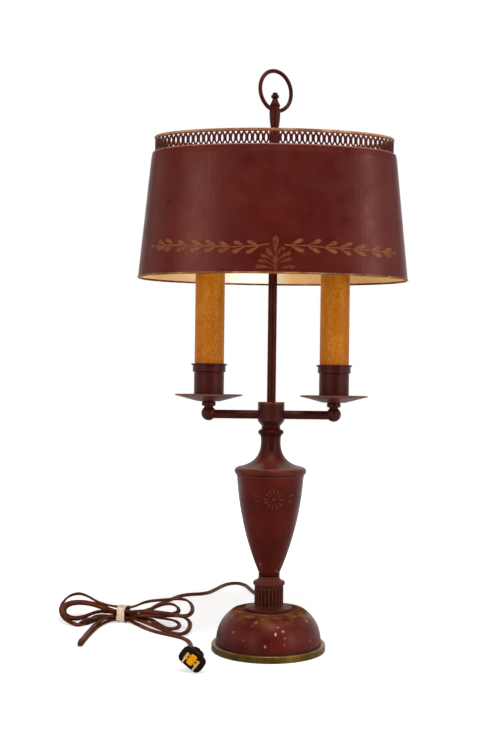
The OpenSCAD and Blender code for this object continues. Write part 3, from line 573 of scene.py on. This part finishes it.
PROUD = 0.00012  # metres over the paint
LEAF = [(0, 0.18), (0.15, 0.28), (0.3, 0.42), (0.45, 0.62), (0.6, 0.84), (0.75, 1), (0.87, 0.86),
        (0.95, 0.5), (1, 0.08)]


class Stencil:
    """Thin painted shapes laid on one CAD node, on the front and, turned half round, the back."""

    def __init__(self, node):
        self.node = node
        self.points, self.faces = [], []

    def strip(self, *spine, width, widths=None):
        """A leaf from its foot to its tip, or with widths of its own along the spine."""
        keys = np.array([(x, y, 0.0) for x, y in spine])
        if len(keys) == 2:
            keys = np.array([keys[0], keys.mean(0), keys[1]])
        line = respaced(curve_through(keys, 8), 0.25)
        share = np.linspace(0, 1, len(line))
        shape = np.array(widths or LEAF)
        half = np.interp(share, shape[:, 0], shape[:, 1]) * width / 2
        picked = np.unique(np.linspace(0, len(line) - 1, 10).round().astype(int))
        run = unit(np.gradient(line[:, :2], axis=0))
        across = np.stack([-run[:, 1], run[:, 0]], 1) * half[:, None]
        grid = [[self.lay(*(line[k, :2] + across[k] * side)) for side in (-1, -0.4, 0.4, 1)]
                for k in picked]
        for a, b in zip(grid, grid[1:]):
            for j in range(3):
                self.faces.append((a[j], a[j + 1], b[j + 1], b[j]))

    def dot(self, x, y, radius):
        centre = self.lay(x, y)
        ring = [
            self.lay(x + radius * math.cos(t), y + radius * math.sin(t))
            for t in np.linspace(0, 2 * math.pi, 10, endpoint=False)
        ]
        for a, b in zip(ring, ring[1:] + ring[:1]):
            self.faces.append((centre, a, b))

    def lay(self, px, py):
        point, normal = on_surface(px, py, self.node)
        self.points.append((point + normal * PROUD, normal))
        return len(self.points) - 1

    def piece(self, name, body, slot):
        faces = []
        for face in self.faces:
            a, b, c = (self.points[k][0] for k in face[:3])
            outward = (b - a).cross(c - a).dot(self.points[face[0]][1]) > 0
            faces.append(face if outward else face[::-1])
        points = [p for p, _ in self.points]
        points += [Vector((-p.x, -p.y, p.z)) for p in points]
        count = len(self.points)
        faces += [tuple(k + count for k in face) for face in faces]
        return mesh_object(name, points, faces, body=body, slot=slot)


EVEN = [(0, 0.7), (0.5, 1), (1, 0.7)]

# Palmette: its middle leaf and foot, then the leaves at both sides
palmette = Stencil("shade_body")
palmette.strip((275.3, 255.7), (275.9, 235.0), width=6.4)
palmette.strip((275.5, 256.5), (275.3, 270.6), width=5, widths=EVEN)
PALMETTE_LEAVES = [
    # Width, then pixels from the tip to the foot
    (5.4, (266.4, 248.2), (274.5, 259)),
    (3.7, (260.6, 254.5), (265.6, 256.5), (270, 258.6), (273, 260.7)),
    (4.1, (257.7, 260.7), (262.6, 260.7), (267.2, 262), (272.6, 265.2)),
    (4.1, (255, 266.7), (264, 266.5), (272.6, 268.1)),
    (2.5, (283.2, 248.7), (281, 248.6), (278.4, 253.2), (276.7, 256.5)),
    (3.0, (288.8, 253.2), (283.8, 255.3), (279.7, 258.6), (277.2, 261.5)),
    (3.7, (292.9, 259), (287.5, 259.8), (282.6, 261.5), (279.2, 263.6)),
    (3.7, (295.8, 267.3), (287.5, 266.9), (279.2, 268.6)),
]
for width, *spine in PALMETTE_LEAVES:
    palmette.strip(*spine[::-1], width=width)
palmette.dot(283.2, 248.7, 2.0)
palmette.dot(288.8, 253.2, 2.3)
palmette_piece = palmette.piece("palmette", "shade", "gilt_trim")

# Pairs of leaves along a stem: upper tip, where they join, lower tip
GARLAND_LEFT = [
    ((247.3, 241.3), (256.6, 245.9), (245.9, 253.1)),
    ((233.7, 241.3), (242.3, 246.3), (231.9, 252.7)),
    ((219.4, 242.4), (228.7, 247), (217.6, 252)),
    ((205.1, 241.3), (214.8, 245.9), (204.1, 250.6)),
    ((191.6, 241.3), (200.9, 245.6), (189.8, 250.9)),
    ((177.6, 241.3), (185.5, 245.6), (176.6, 250.6)),
    ((166.2, 239.1), (172.3, 244.9), (164.1, 250.6)),
    ((158.4, 241.3), (164.4, 245.6), (156.6, 249.5)),
]
GARLAND_RIGHT = [
    ((303.4, 239.5), (292.7, 245.2), (304.5, 251.6)),
    ((321.6, 240.2), (309.9, 245.9), (320.2, 252.4)),
    ((337.4, 242.4), (327, 247.7), (337.7, 252.7)),
    ((353.1, 243.1), (342, 248.1), (351.3, 254.9)),
    ((367, 245.9), (355.6, 249.1), (367, 255.6)),
    ((380.9, 247.4), (372, 250.6), (381.6, 256.6)),
    ((391.3, 249.1), (384.1, 252), (392, 257)),
]
LEAF_OVERLAP = 0.24  # how far a leaf's foot reaches past the stem
garland = Stencil("shade_body")
for leaves, start, end in (
    (GARLAND_LEFT, (269.9, 243.7), (152.6, 246.3)),
    (GARLAND_RIGHT, (284.4, 244.9), (396, 253.2)),
):
    spine = [start, *(join for _, join, _ in leaves), end]
    for a, b in zip(spine, spine[1:]):
        garland.strip(a, b, width=1.5, widths=EVEN)
    for upper, join, lower in leaves:
        for tip, bend in ((upper, -0.5), (lower, 0.5)):
            foot = (join[0] + (join[0] - tip[0]) * LEAF_OVERLAP, join[1])
            middle = ((tip[0] + foot[0]) / 2, (tip[1] + foot[1]) / 2 + bend)
            garland.strip(foot, middle, tip, width=4.3)
garland.dot(152.6, 246.3, 1.6)
garland_piece = garland.piece("garland", "shade", "gilt_trim")

# Rosette: a dot, its petals, and a faded spray at each side
ROSETTE_X, ROSETTE_Y = 273.7, 499.4
PETAL = 4.9, 9.8  # foot and tip
PETALS = (88, 58, 30.6, -3, -38, -69, -98.6, -128, -156, 180, 147, 116)  # degrees
rosette = Stencil("vase_body")
rosette.dot(ROSETTE_X, ROSETTE_Y, 1.4)
for degrees in PETALS:
    c, s = math.cos(math.radians(degrees)), -math.sin(math.radians(degrees))
    rosette.strip(*[(ROSETTE_X + r * c, ROSETTE_Y + r * s) for r in PETAL], width=2)
for side in (1, -1):
    for spray in (((14.3, -2.6), (20, -4.4)), ((15.5, 0), (16.6, 3.4))):
        rosette.strip(*[(ROSETTE_X + side * x, ROSETTE_Y + y) for x, y in spray], width=1.8)
rosette_piece = rosette.piece("rosette", "lamp", "gilt_trim")


def chips(node, colour, *seen):
    """Points, radii in mm and colours for Shader.spots, from pixels and radii."""
    return [(on_surface(px, py, node)[0], radius, colour) for px, py, radius in seen]


# ---- Materials ----


def rgb(r, g, b):
    """Linear colour from 8-bit sRGB numbers."""
    return tuple(
        v / 12.92 if v <= 0.04045 else ((v + 0.055) / 1.055) ** 2.4
        for v in (r / 255, g / 255, b / 255)
    ) + (1,)


class Nodes:
    """The node tree of a material or world, with short ways to add nodes."""

    def __init__(self, owner, clear=False):
        owner.use_nodes = True
        self.tree = owner.node_tree
        if clear:
            self.tree.nodes.clear()

    def feed(self, socket, value):
        """Links an input, or sets its value."""
        if isinstance(value, bpy.types.NodeSocket):
            self.tree.links.new(value, socket)
        else:
            socket.default_value = value

    def node(self, kind, inputs=None, **settings):
        made = self.tree.nodes.new("ShaderNode" + kind)
        for key, value in settings.items():
            setattr(made, key, value)
        for key, value in (inputs or {}).items():
            self.feed(made.inputs[key], value)
        return made

    def vector(self, operation, a, b=(0, 0, 0), result=0):
        return self.node("VectorMath", {0: a, 1: b}, operation=operation).outputs[result]

    def axis(self, vector, index):
        return self.node("SeparateXYZ", {0: vector}).outputs[index]

    def math(self, operation, a, b, clamp=False):
        made = self.node("Math", {0: a, 1: b}, operation=operation, use_clamp=clamp)
        return made.outputs[0]

    def map_range(self, value, *limits):
        """Limits: the range it comes from, and the one it goes to if not 0 to 1."""
        return self.node("MapRange", dict(enumerate((value, *limits)))).outputs[0]

    def ray(self, *kinds):
        """1 for rays of the named kinds."""
        path = self.node("LightPath").outputs
        total = path[kinds[0]]
        for kind in kinds[1:]:
            total = self.math("MAXIMUM", total, path[kind])
        return total


class Shader(Nodes):
    """A Principled material."""

    def __init__(self, name, colour, roughness, metallic=0.0, **sockets):
        self.material = bpy.data.materials.new(name)
        super().__init__(self.material)
        self.material.diffuse_color = colour
        self.surface = self.tree.nodes["Principled BSDF"]
        self.set("Base Color", colour)
        self.set("Roughness", roughness)
        self.set("Metallic", metallic)
        for key, value in sockets.items():
            self.set(key.replace("_", " "), value)
        self.coord = self.node("TexCoord").outputs
        self.place = self.coord["Object"]

    def set(self, key, value):
        self.feed(self.surface.inputs[key], value)

    def stretched(self, scale):
        return self.vector("MULTIPLY", self.place, scale)

    def height(self):
        return self.axis(self.place, 2)

    def radius(self, centre=(0, 0)):
        """Distance from an upright axis, in metres."""
        moved = self.vector("SUBTRACT", self.place, (*centre, 0))
        return self.vector("LENGTH", self.vector("MULTIPLY", moved, (1, 1, 0)), result=1)

    def noise(self, scale, detail=3, roughness=0.55, place=None, distortion=0.0):
        inputs = {"Vector": place or self.place, "Scale": scale, "Detail": detail,
                  "Roughness": roughness, "Distortion": distortion}
        return self.node("TexNoise", inputs).outputs["Fac"]

    def ramp(self, value, *stops):
        """Numbers or colours against value: stops are (position, number or colour)."""
        made = self.node("ValToRGB", {"Fac": value})
        ramp = made.color_ramp
        while len(ramp.elements) < len(stops):
            ramp.elements.new(0.5)
        for element, (at, shade) in zip(ramp.elements, stops):
            element.position = at
            element.color = shade if isinstance(shade, tuple) else (shade,) * 3 + (1,)
        return made.outputs["Color"]

    def along(self, value, *stops):
        """A ramp whose stops are (length in mm, number or colour)."""
        low, high = stops[0][0], stops[-1][0]
        share = self.map_range(value, low / 1000, high / 1000)
        return self.ramp(share, *[((at - low) / (high - low), v) for at, v in stops])

    def mix(self, share, a, b):
        return self.node("Mix", {0: share, 6: a, 7: b}, data_type="RGBA").outputs[2]

    def bump(self, height, strength, distance):
        inputs = {"Height": height, "Strength": strength, "Distance": distance}
        self.set("Normal", self.node("Bump", inputs).outputs[0])

    def wear_and_highlight(self, colour, value, stops, bare, scale=160):
        """Worn colour and painted highlight in broken patches, more where the stops along value
        are high.
        """
        amount = self.along(value, *stops)
        broken = self.ramp(self.noise(scale, 4, 0.65), (0.38, 0.0), (0.56, 1.0))
        # Patches grow with the amount, up to a whole cover
        cover = self.math("ADD", amount, self.math("MULTIPLY", broken, amount), clamp=True)
        return self.mix(self.math("MULTIPLY", cover, amount, clamp=True), colour, bare)

    def spots(self, colour, places, wobble=0.0032):
        """Round spots with ragged edges: points, radii in mm and colours."""
        moved = self.node("TexNoise", {"Vector": self.place, "Scale": 420.0, "Detail": 2.0})
        shift = self.vector("MULTIPLY", moved.outputs["Color"], (wobble,) * 3)
        shift = self.vector("SUBTRACT", shift, (wobble / 2,) * 3)
        ragged = self.vector("ADD", self.place, shift)
        for point, radius, shade in places:
            near = self.vector("DISTANCE", ragged, tuple(point), result=1)
            # 0.5 is the radius itself
            mask = self.ramp(self.math("MULTIPLY", near, 500 / radius), (0.42, 1.0), (0.55, 0.0))
            colour = self.mix(mask, colour, shade)
        return colour

    def on(self, *pieces):
        for piece in pieces:
            piece = nodes[piece] if isinstance(piece, str) else piece
            piece.data.materials.clear()
            piece.data.materials.append(self.material)

    def cover(self, colour, *pieces):
        self.set("Base Color", colour)
        self.on(*pieces)


PAINT_TINT = (1.0, 0.52, 0.44, 1)  # the red paint's gloss is a little red


def paint(name, low, base, high, roughness=0.32, specks=0.3, level=0.16, cloud=26):
    """Old satin paint: cloudy tone, fine specks, scratches. Returns the shader and its colour."""
    s = Shader(name, base, roughness, Specular_IOR_Level=level, Specular_Tint=PAINT_TINT)
    colour = s.ramp(s.noise(cloud, 4, 0.62), (0.3, low), (0.5, base), (0.72, high))
    fine = s.ramp(s.noise(750, 2, 0.6), (0.62, 0.0), (0.72, 1.0))
    colour = s.mix(s.math("MULTIPLY", fine, specks), colour, high)
    dark = s.ramp(s.noise(330, 3, 0.6), (0.3, 0.5), (0.4, 0.0))
    colour = s.mix(dark, colour, low)
    s.set("Base Color", colour)
    rough = s.ramp(s.noise(60, 4, 0.6), (0.3, roughness - 0.06), (0.7, roughness + 0.1))
    s.set("Roughness", rough)
    s.bump(s.noise(230, 4, 0.6), 0.1, 0.0004)
    return s, colour


def painted(name, low, base, high, pieces, **options):
    s, _ = paint(name, low, base, high, **options)
    s.on(*pieces)


def metal(name, low, base, high, roughness, metallic=1.0):
    """Old metal: uneven patina, dark dirt in patches, fine scratches."""
    s = Shader(name, base, roughness, metallic)
    colour = s.ramp(s.noise(45, 4, 0.6), (0.3, low), (0.52, base), (0.74, high))
    dirt = s.ramp(s.noise(140, 5, 0.7), (0.56, 0.0), (0.72, 0.75))
    colour = s.mix(dirt, colour, (0.05, 0.03, 0.02, 1))
    s.set("Base Color", colour)
    rough = s.ramp(s.noise(90, 4, 0.65), (0.3, roughness - 0.08), (0.7, roughness + 0.16))
    s.set("Roughness", rough)
    scratches = s.noise(1.0, 3, 0.6, place=s.stretched((500, 500, 60)))
    s.bump(scratches, 0.1, 0.0003)
    return s, colour


def pairs(*names):
    """The left and the right one of each piece."""
    return [side + name for name in names for side in ("left_", "right_")]


PALE = rgb(164, 116, 84)
DULL = rgb(124, 72, 50)
REDS = rgb(54, 7, 5), rgb(71, 11, 7), rgb(88, 23, 15)

# Rod, finial and ring
painted("rod_paint", rgb(42, 8, 7), rgb(56, 12, 10), rgb(74, 23, 19),
        ("centre_rod", "finial_neck", "finial", "finial_ring"), roughness=0.3)
# Arms, cups and hub: the red paint made darker, partly a darker paint and partly painted shade
painted("arm_paint", rgb(42, 8, 7), rgb(54, 12, 10), rgb(72, 25, 22),
        ("arm_hub", *pairs("arm_tube", "arm_ball", "cup_collar", "candle_cup")),
        roughness=0.44, level=0.26)
painted("neck_paint", rgb(34, 6, 4), rgb(46, 8, 5), rgb(60, 16, 11), ("neck_bead", "vase_bead"),
        roughness=0.38, level=0.1)

# Drip pans, with rims lighter in patches: worn paint and a painted highlight
ARM_REACH = 0.0674  # metres
for side, way in (("left", -1), ("right", 1)):
    s, colour = paint(side + "_pan_paint", rgb(58, 17, 15), rgb(78, 27, 24), rgb(100, 46, 41),
                      roughness=0.46)
    rim = s.wear_and_highlight(colour, s.radius((way * ARM_REACH, 0)),
                 ((34.8, 0.0), (35.8, 0.35), (36.5, 0.7)), rgb(126, 80, 70))
    s.cover(rim, side + "_drip_pan")

# Vase, with two chips
s, colour = paint("vase_paint", *REDS, roughness=0.4, level=0.2)
spots = chips("vase_body", PALE, (260.6, 564.3, 0.9), (276.5, 570.7, 0.8))
s.cover(s.spots(colour, spots), "vase_body")

# Its lid: dark towards the top, worn along two edges
LID_WEAR = ((186, 0.0), (187, 0.75), (188.4, 0.15), (194.5, 0.15), (196, 0.7), (197.2, 0.2),
            (206, 0.2), (212, 0.0))
s, colour = paint("lid_paint", rgb(54, 13, 9), rgb(70, 20, 14), rgb(88, 36, 27), roughness=0.36)
colour = s.mix(s.along(s.height(), (200, 0.0), (216, 0.9), (240, 0.9)), colour, rgb(42, 8, 5))
s.cover(s.wear_and_highlight(colour, s.height(), LID_WEAR, rgb(122, 72, 56), scale=240), "vase_lid")

# Column and its rings. The column's red is darkened as painted shade of its flutes
s, colour = paint("column_paint", rgb(32, 4, 4), rgb(46, 8, 7), rgb(64, 20, 16), roughness=0.42,
                  level=0.1)
# Ridges lighter brown: rubbed paint and a painted highlight
colour = s.wear_and_highlight(colour, s.radius(), ((14.6, 0.0), (15.4, 0.35), (15.8, 0.6)), rgb(104, 58, 40))
s.cover(colour, "fluted_column")
painted("ring_paint", rgb(54, 20, 15), rgb(76, 36, 29), rgb(98, 58, 47),
        ("check_ring", "column_cap"), roughness=0.42, level=0.06)

# Dome: red sides, brown matt top, golden where its edge is rubbed, and darker towards the foot
DOME_SPOTS = [
    *chips("base_dome", DULL, (226.7, 620.5, 1.4), (252.5, 625.8, 0.9), (285, 638.8, 1.1),
           (310.2, 641, 1.4), (271.9, 644.3, 0.8), (284.6, 645.3, 1.0), (295, 617.5, 0.8),
           (243.5, 640.5, 0.8), (300.5, 634, 0.7), (222.5, 644, 0.8)),
    *chips("base_dome", PALE, (256, 623, 1.1), (278.6, 627.5, 1.0), (283.3, 631.6, 1.3),
           (306.5, 621.2, 1.3), (265.4, 647, 1.1), (233, 632.3, 0.9)),
    *chips("base_dome", rgb(206, 166, 134), (275.4, 634.5, 1.4)),
    *chips("base_dome", rgb(104, 12, 7), (270.6, 620.2, 1.7)),
]
s, colour = paint("dome_paint", *REDS, roughness=0.38, level=0.3, specks=0.6)
brown = s.ramp(s.noise(50, 4, 0.65), (0.34, rgb(78, 36, 24)), (0.52, rgb(104, 60, 42)),
               (0.7, rgb(130, 92, 60)))
colour = s.mix(s.along(s.height(), (40.6, 0.0), (41.8, 1.0), (45, 1.0)), colour, brown)
rubbed = s.along(s.height(), (33, 0.0), (39, 0.55), (41.2, 0.85), (41.9, 0.6), (42.6, 0.0))
patches = s.ramp(s.noise(95, 5, 0.66), (0.45, 0.0), (0.58, 1.0))
colour = s.mix(s.math("MULTIPLY", rubbed, patches), colour, rgb(104, 66, 24))
darker_low = s.along(s.height(), (7, 0.7), (9.5, 0.25), (14, 0.0))
colour = s.mix(darker_low, colour, rgb(46, 30, 20))
s.set("Specular IOR Level", s.along(s.height(), (38.5, 0.26), (41.6, 0.0), (45, 0.0)))
s.cover(s.spots(colour, DOME_SPOTS, wobble=0.0046), "base_dome")

# Foot ring: old brass, with a painted highlight in tan along the top of its lip
s, colour = metal("foot_brass", rgb(60, 44, 16), rgb(96, 72, 22), rgb(124, 98, 44), 0.38, 0.85)
# Painted highlight: tan on the top of the lip, in broken patches
lip_highlight = s.along(s.radius(), (57.6, 0.0), (58.2, 0.8), (61.0, 0.9), (61.4, 0.3))
high = s.along(s.height(), (6.6, 0.0), (7.2, 1.0), (8, 1.0))
broken = s.ramp(s.noise(120, 4, 0.6), (0.36, 0.35), (0.56, 1.0))
colour = s.mix(s.math("MULTIPLY", s.math("MULTIPLY", lip_highlight, high), broken), colour,
               rgb(150, 112, 84))
s.cover(colour, "base_ring")

s, _ = metal("small_brass", rgb(96, 70, 34), rgb(140, 108, 56), rgb(170, 136, 78), 0.4)
s.on("collar_screw", *pairs("switch_key"))
s, _ = metal("copper_rim", rgb(70, 30, 22), rgb(100, 50, 34), rgb(140, 86, 60), 0.46, 0.7)
s.on("hub_rim")

# Shade: red outside and cream inside, with painted light and a painted glow on the lining
s, outside = paint("shade_paint", rgb(68, 14, 9), rgb(72, 16, 11), rgb(81, 22, 16), 0.32,
                   specks=0.45, level=0.33, cloud=14)
stains = s.ramp(s.noise(9, 4, 0.6, place=s.stretched((1, 1, 2.5))), (0.34, 0.25), (0.48, 0.0))
outside = s.mix(stains, outside, rgb(66, 18, 15))
edge = s.along(s.height(), (399, 0.55), (401.5, 0.25), (406, 0.0))
outside = s.mix(edge, outside, rgb(60, 20, 16))
flecks = s.ramp(s.noise(330, 2, 0.6), (0.71, 0.0), (0.78, 0.3))
outside = s.mix(flecks, outside, rgb(146, 96, 84))
outside = s.spots(outside, chips("shade_body", rgb(40, 6, 3), (168.3, 201.6, 2.2)))
# Lining colour and painted glow, left to right (mm): tan, painted near white left of the rod
across = s.axis(s.place, 0)
lining_with_painted_light = s.along(
    across, (-120, rgb(255, 216, 156)), (-62, rgb(255, 240, 208)), (-34, rgb(255, 254, 244)),
    (-2, rgb(255, 252, 236)), (22, rgb(238, 196, 134)), (120, rgb(246, 204, 140)))
painted_glow = s.along(
    across, (-120, 0.12), (-62, 0.3), (-36, 0.62), (-4, 0.62), (6, 0.16), (60, 0.08), (120, 0.1))
stained = s.ramp(s.noise(24, 4, 0.6), (0.3, 0.35), (0.46, 0.0))
lining_with_painted_light = s.mix(stained, lining_with_painted_light, rgb(224, 176, 120))
# Inside is where the normal faces the axis of the oval
scale = (1 / (SHADE_A / 1000) ** 2, 1 / (SHADE_B / 1000) ** 2, 0)
facing = s.vector("DOT_PRODUCT", s.stretched(scale), s.coord["Normal"], result=1)
inside = s.math("LESS_THAN", facing, 0.0)
# Painted glow: the lining lights up in its own colour, most left of the rod
s.set("Emission Color", lining_with_painted_light)
s.set("Emission Strength", s.math("MULTIPLY", inside, painted_glow))
s.cover(s.mix(inside, outside, lining_with_painted_light), "shade_body")

# Trim of the shade
painted("bead_paint", rgb(70, 36, 20), rgb(120, 80, 50), rgb(176, 134, 94), ("shade_bead",),
        roughness=0.42, cloud=60)
s, _ = metal("gallery_brass", rgb(112, 70, 40), rgb(160, 108, 70), rgb(196, 150, 112), 0.42, 0.6)
s.on("gallery_rim")
s, _ = paint("lace_paint", rgb(44, 10, 12), rgb(62, 16, 20), rgb(92, 36, 32), 0.4)
colour = s.along(s.height(), (533.6, rgb(170, 112, 92)), (534.9, rgb(150, 92, 74)),
                 (535.3, rgb(62, 16, 20)), (545.6, rgb(66, 20, 20)), (548.3, rgb(96, 50, 38)))
s.cover(colour, lace)

# Stencils: gilt that has gone brown, thin in patches
for name, piece, gilt, through in (
    ("palmette_gilt", palmette_piece, rgb(100, 50, 26), rgb(80, 26, 16)),
    ("garland_gilt", garland_piece, rgb(118, 69, 40), rgb(92, 38, 24)),
    ("rosette_gilt", rosette_piece, rgb(92, 50, 12), rgb(76, 26, 10)),
):
    s = Shader(name, gilt, 0.42, Specular_IOR_Level=0.24, Specular_Tint=PAINT_TINT)
    worn = s.ramp(s.noise(260, 4, 0.65), (0.38, 0.9), (0.54, 0.0))
    s.bump(s.noise(500, 3), 0.1, 0.0002)
    s.cover(s.mix(worn, gilt, through), piece)

# Candle sleeves: amber, streaked downwards, and darker towards the bottom as painted shade
s = Shader("candle_amber", rgb(180, 100, 10), 0.42, Specular_IOR_Level=0.1)
streak = s.noise(1.0, 4, 0.6, place=s.stretched((90, 90, 34)))
tone = s.ramp(streak, (0.3, rgb(170, 94, 4)), (0.5, rgb(180, 106, 10)), (0.7, rgb(196, 126, 30)))
spots = s.ramp(s.noise(640, 3, 0.65), (0.57, 0.0), (0.64, 0.75))
# Painted shade: darker towards the bottom
tone = s.mix(s.along(s.height(), (296, 0.75), (330, 0.4), (395, 0.0)), tone, rgb(146, 76, 2))
tone = s.mix(spots, tone, rgb(118, 58, 4))
pale = s.ramp(s.noise(520, 3, 0.65), (0.36, 0.5), (0.46, 0.0))
s.bump(streak, 0.2, 0.0005)
s.cover(s.mix(pale, tone, rgb(206, 140, 56)), *pairs("candle_sleeve"))

# Cord: brown vinyl, clouded
s = Shader("cord_vinyl", rgb(88, 38, 24), 0.5, Specular_IOR_Level=0.12, Specular_Tint=PAINT_TINT)
tone = s.ramp(s.noise(60, 4, 0.6), (0.32, rgb(58, 21, 9)), (0.52, rgb(88, 40, 22)),
              (0.72, rgb(118, 62, 40)))
s.bump(s.noise(400, 3), 0.12, 0.0003)
s.cover(tone, cord, "inner_wire", "cord_bushing")

# Tie: crumpled kraft paper
s = Shader("tie_paper", rgb(236, 204, 182), 0.8, Specular_IOR_Level=0.2)
tone = s.ramp(s.noise(230, 5, 0.65, distortion=0.6), (0.32, rgb(206, 164, 138)),
              (0.5, rgb(238, 204, 180)), (0.7, rgb(252, 230, 212)))
s.bump(s.noise(300, 4, 0.65), 0.3, 0.0004)
s.cover(tone, tie)

# Plain materials: colour, roughness, metallic, pieces
plain = {
    "felt": (rgb(50, 70, 45), 0.95, 0.0, ("base_felt",)),
    "iron": (rgb(70, 68, 66), 0.6, 0.8, ("base_weight", "stem_pipe", "pipe_nuts")),
    "steel": (rgb(130, 128, 124), 0.42, 1.0,
              ("base_washer", "shade_collar", "shade_spider", *pairs("socket_post"))),
    "phenolic": (rgb(38, 30, 26), 0.4, 0.0, pairs("socket")),
    "shell_brass": (rgb(190, 160, 100), 0.35, 1.0, pairs("screw_shell")),
    "bulb_metal": (rgb(180, 178, 172), 0.3, 1.0, pairs("bulb_cap")),
    "plug_black": (rgb(9, 7, 6), 0.46, 0.0, (plug,)),
    "plug_card": (rgb(240, 158, 2), 0.6, 0.0, (card,)),
    "blade_brass": (rgb(206, 186, 140), 0.5, 0.3, ("plug_blades",)),
}
for name, (colour, roughness, metallic, pieces) in plain.items():
    gloss = 0.12 if name.startswith("plug") else 0.5
    s = Shader(name, colour, roughness, metallic, Specular_IOR_Level=gloss)
    lower = tuple(v * 0.76 for v in colour[:3]) + (1,)
    upper = tuple(min(v * 1.22, 1) for v in colour[:3]) + (1,)
    tone = s.ramp(s.noise(150, 5, 0.65), (0.3, lower), (0.5, colour), (0.72, upper))
    s.set("Roughness", s.ramp(s.noise(90, 3), (0.3, roughness - 0.06), (0.7, roughness + 0.08)))
    s.bump(s.noise(700, 3, 0.6), 0.1, 0.0003)
    s.cover(tone, *pieces)

glass = Shader("bulb_glass", (1, 0.99, 0.96, 1), 0.35, Transmission_Weight=0.85, IOR=1.45)
glass.bump(glass.noise(300, 2), 0.02, 0.0002)
glass.on(*pairs("bulb_glass"))

# Edges sharper than these angles, in degrees, stay sharp
CAD_EDGE, PLUG_EDGE = 34, 40
for piece in nodes.values():
    piece.data.shade_smooth()
    piece.data.set_sharp_from_angle(angle=math.radians(CAD_EDGE))
plug.data.set_sharp_from_angle(angle=math.radians(PLUG_EDGE))

# ---- Floor, backdrop and light ----

FAR = 6
corners = [(-FAR, -FAR, 0), (FAR, -FAR, 0), (FAR, FAR, 0), (-FAR, FAR, 0)]
floor = bpy.data.objects.new("floor", bpy.data.meshes.new("floor"))
floor.data.from_pydata(corners, [], [(0, 1, 2, 3)])
scene.collection.objects.link(floor)

# The rays that show a surface as it is
SEEN = "Is Camera Ray", "Is Transmission Ray"

# The floor takes the lamp's shadow close by and is plain white further out. Gloss sees the
# glow only behind the lamp, as with the world. Distances are in metres.
white = bpy.data.materials.new("floor_white")
tree = Nodes(white, clear=True)
place = tree.node("TexCoord").outputs["Object"]
near = tree.map_range(tree.vector("LENGTH", place, result=1), 0.3, 0.6, 0.55, 1.0)
behind = tree.map_range(tree.axis(place, 1), 0.1, 0.6, 0.0, 1.0)
shown = tree.math("MULTIPLY", near, tree.ray(*SEEN))
mirrored = tree.math("MULTIPLY", behind, tree.ray("Is Glossy Ray"))
glow = tree.node("Emission", {"Strength": tree.math("MAXIMUM", shown, mirrored)}).outputs[0]
diffuse = tree.node("BsdfDiffuse", {"Color": (0.7, 0.7, 0.7, 1)}).outputs[0]
both = tree.node("AddShader", {0: diffuse, 1: glow}).outputs[0]
tree.node("OutputMaterial", {0: both})
floor.data.materials.append(white)


# The world is white where it is seen. Gloss sees it white behind the lamp and dim in front,
# as in a room with a white backdrop.
def background(strength):
    return tree.node("Background", {"Color": (1, 1, 1, 1), "Strength": strength}).outputs[0]


def choose(share, a, b):
    return tree.node("MixShader", {0: share, 1: a, 2: b}).outputs[0]


scene.world = bpy.data.worlds.new("studio")
tree = Nodes(scene.world, clear=True)
depth = tree.axis(tree.node("TexCoord").outputs["Generated"], 1)
room = background(0.26)
mirrored = background(tree.map_range(depth, -0.2, 0.55, 0.06, 1.0))
shown = choose(tree.ray("Is Glossy Ray"), room, mirrored)
tree.node("OutputWorld", {0: choose(tree.ray(*SEEN), shown, background(1.0))})

AIM = Vector((0, 0, 0.3))  # where all the lights point


def softbox(name, azimuth, elevation, distance, width, height, watts, colour=(1, 1, 1)):
    """Area light aimed at the lamp. Azimuth 0 is the camera's side and 90 is +X."""
    data = bpy.data.lights.new(name, "AREA")
    data.shape = "RECTANGLE"
    data.size, data.size_y = width, height
    data.energy = watts
    data.color = colour
    light = bpy.data.objects.new(name, data)
    scene.collection.objects.link(light)
    a, e = math.radians(azimuth), math.radians(elevation)
    away = Vector((math.sin(a) * math.cos(e), -math.cos(a) * math.cos(e), math.sin(e)))
    light.location = AIM + away * distance
    light.rotation_mode = "QUATERNION"
    light.rotation_quaternion = away.to_track_quat("Z", "Y")


softbox("left_strip", -36, 12, 2.0, 0.45, 1.6, 14, (1, 0.96, 0.9))
softbox("right_strip", 52, 12, 2.0, 0.4, 1.6, 15)
softbox("left_fill", -78, 10, 2.2, 1.2, 1.8, 9)
softbox("right_fill", 78, 10, 2.2, 1.2, 1.8, 8)
softbox("top_box", 12, 60, 2.2, 1.1, 0.9, 30, (1, 0.98, 0.94))

scene.view_settings.view_transform = "Standard"
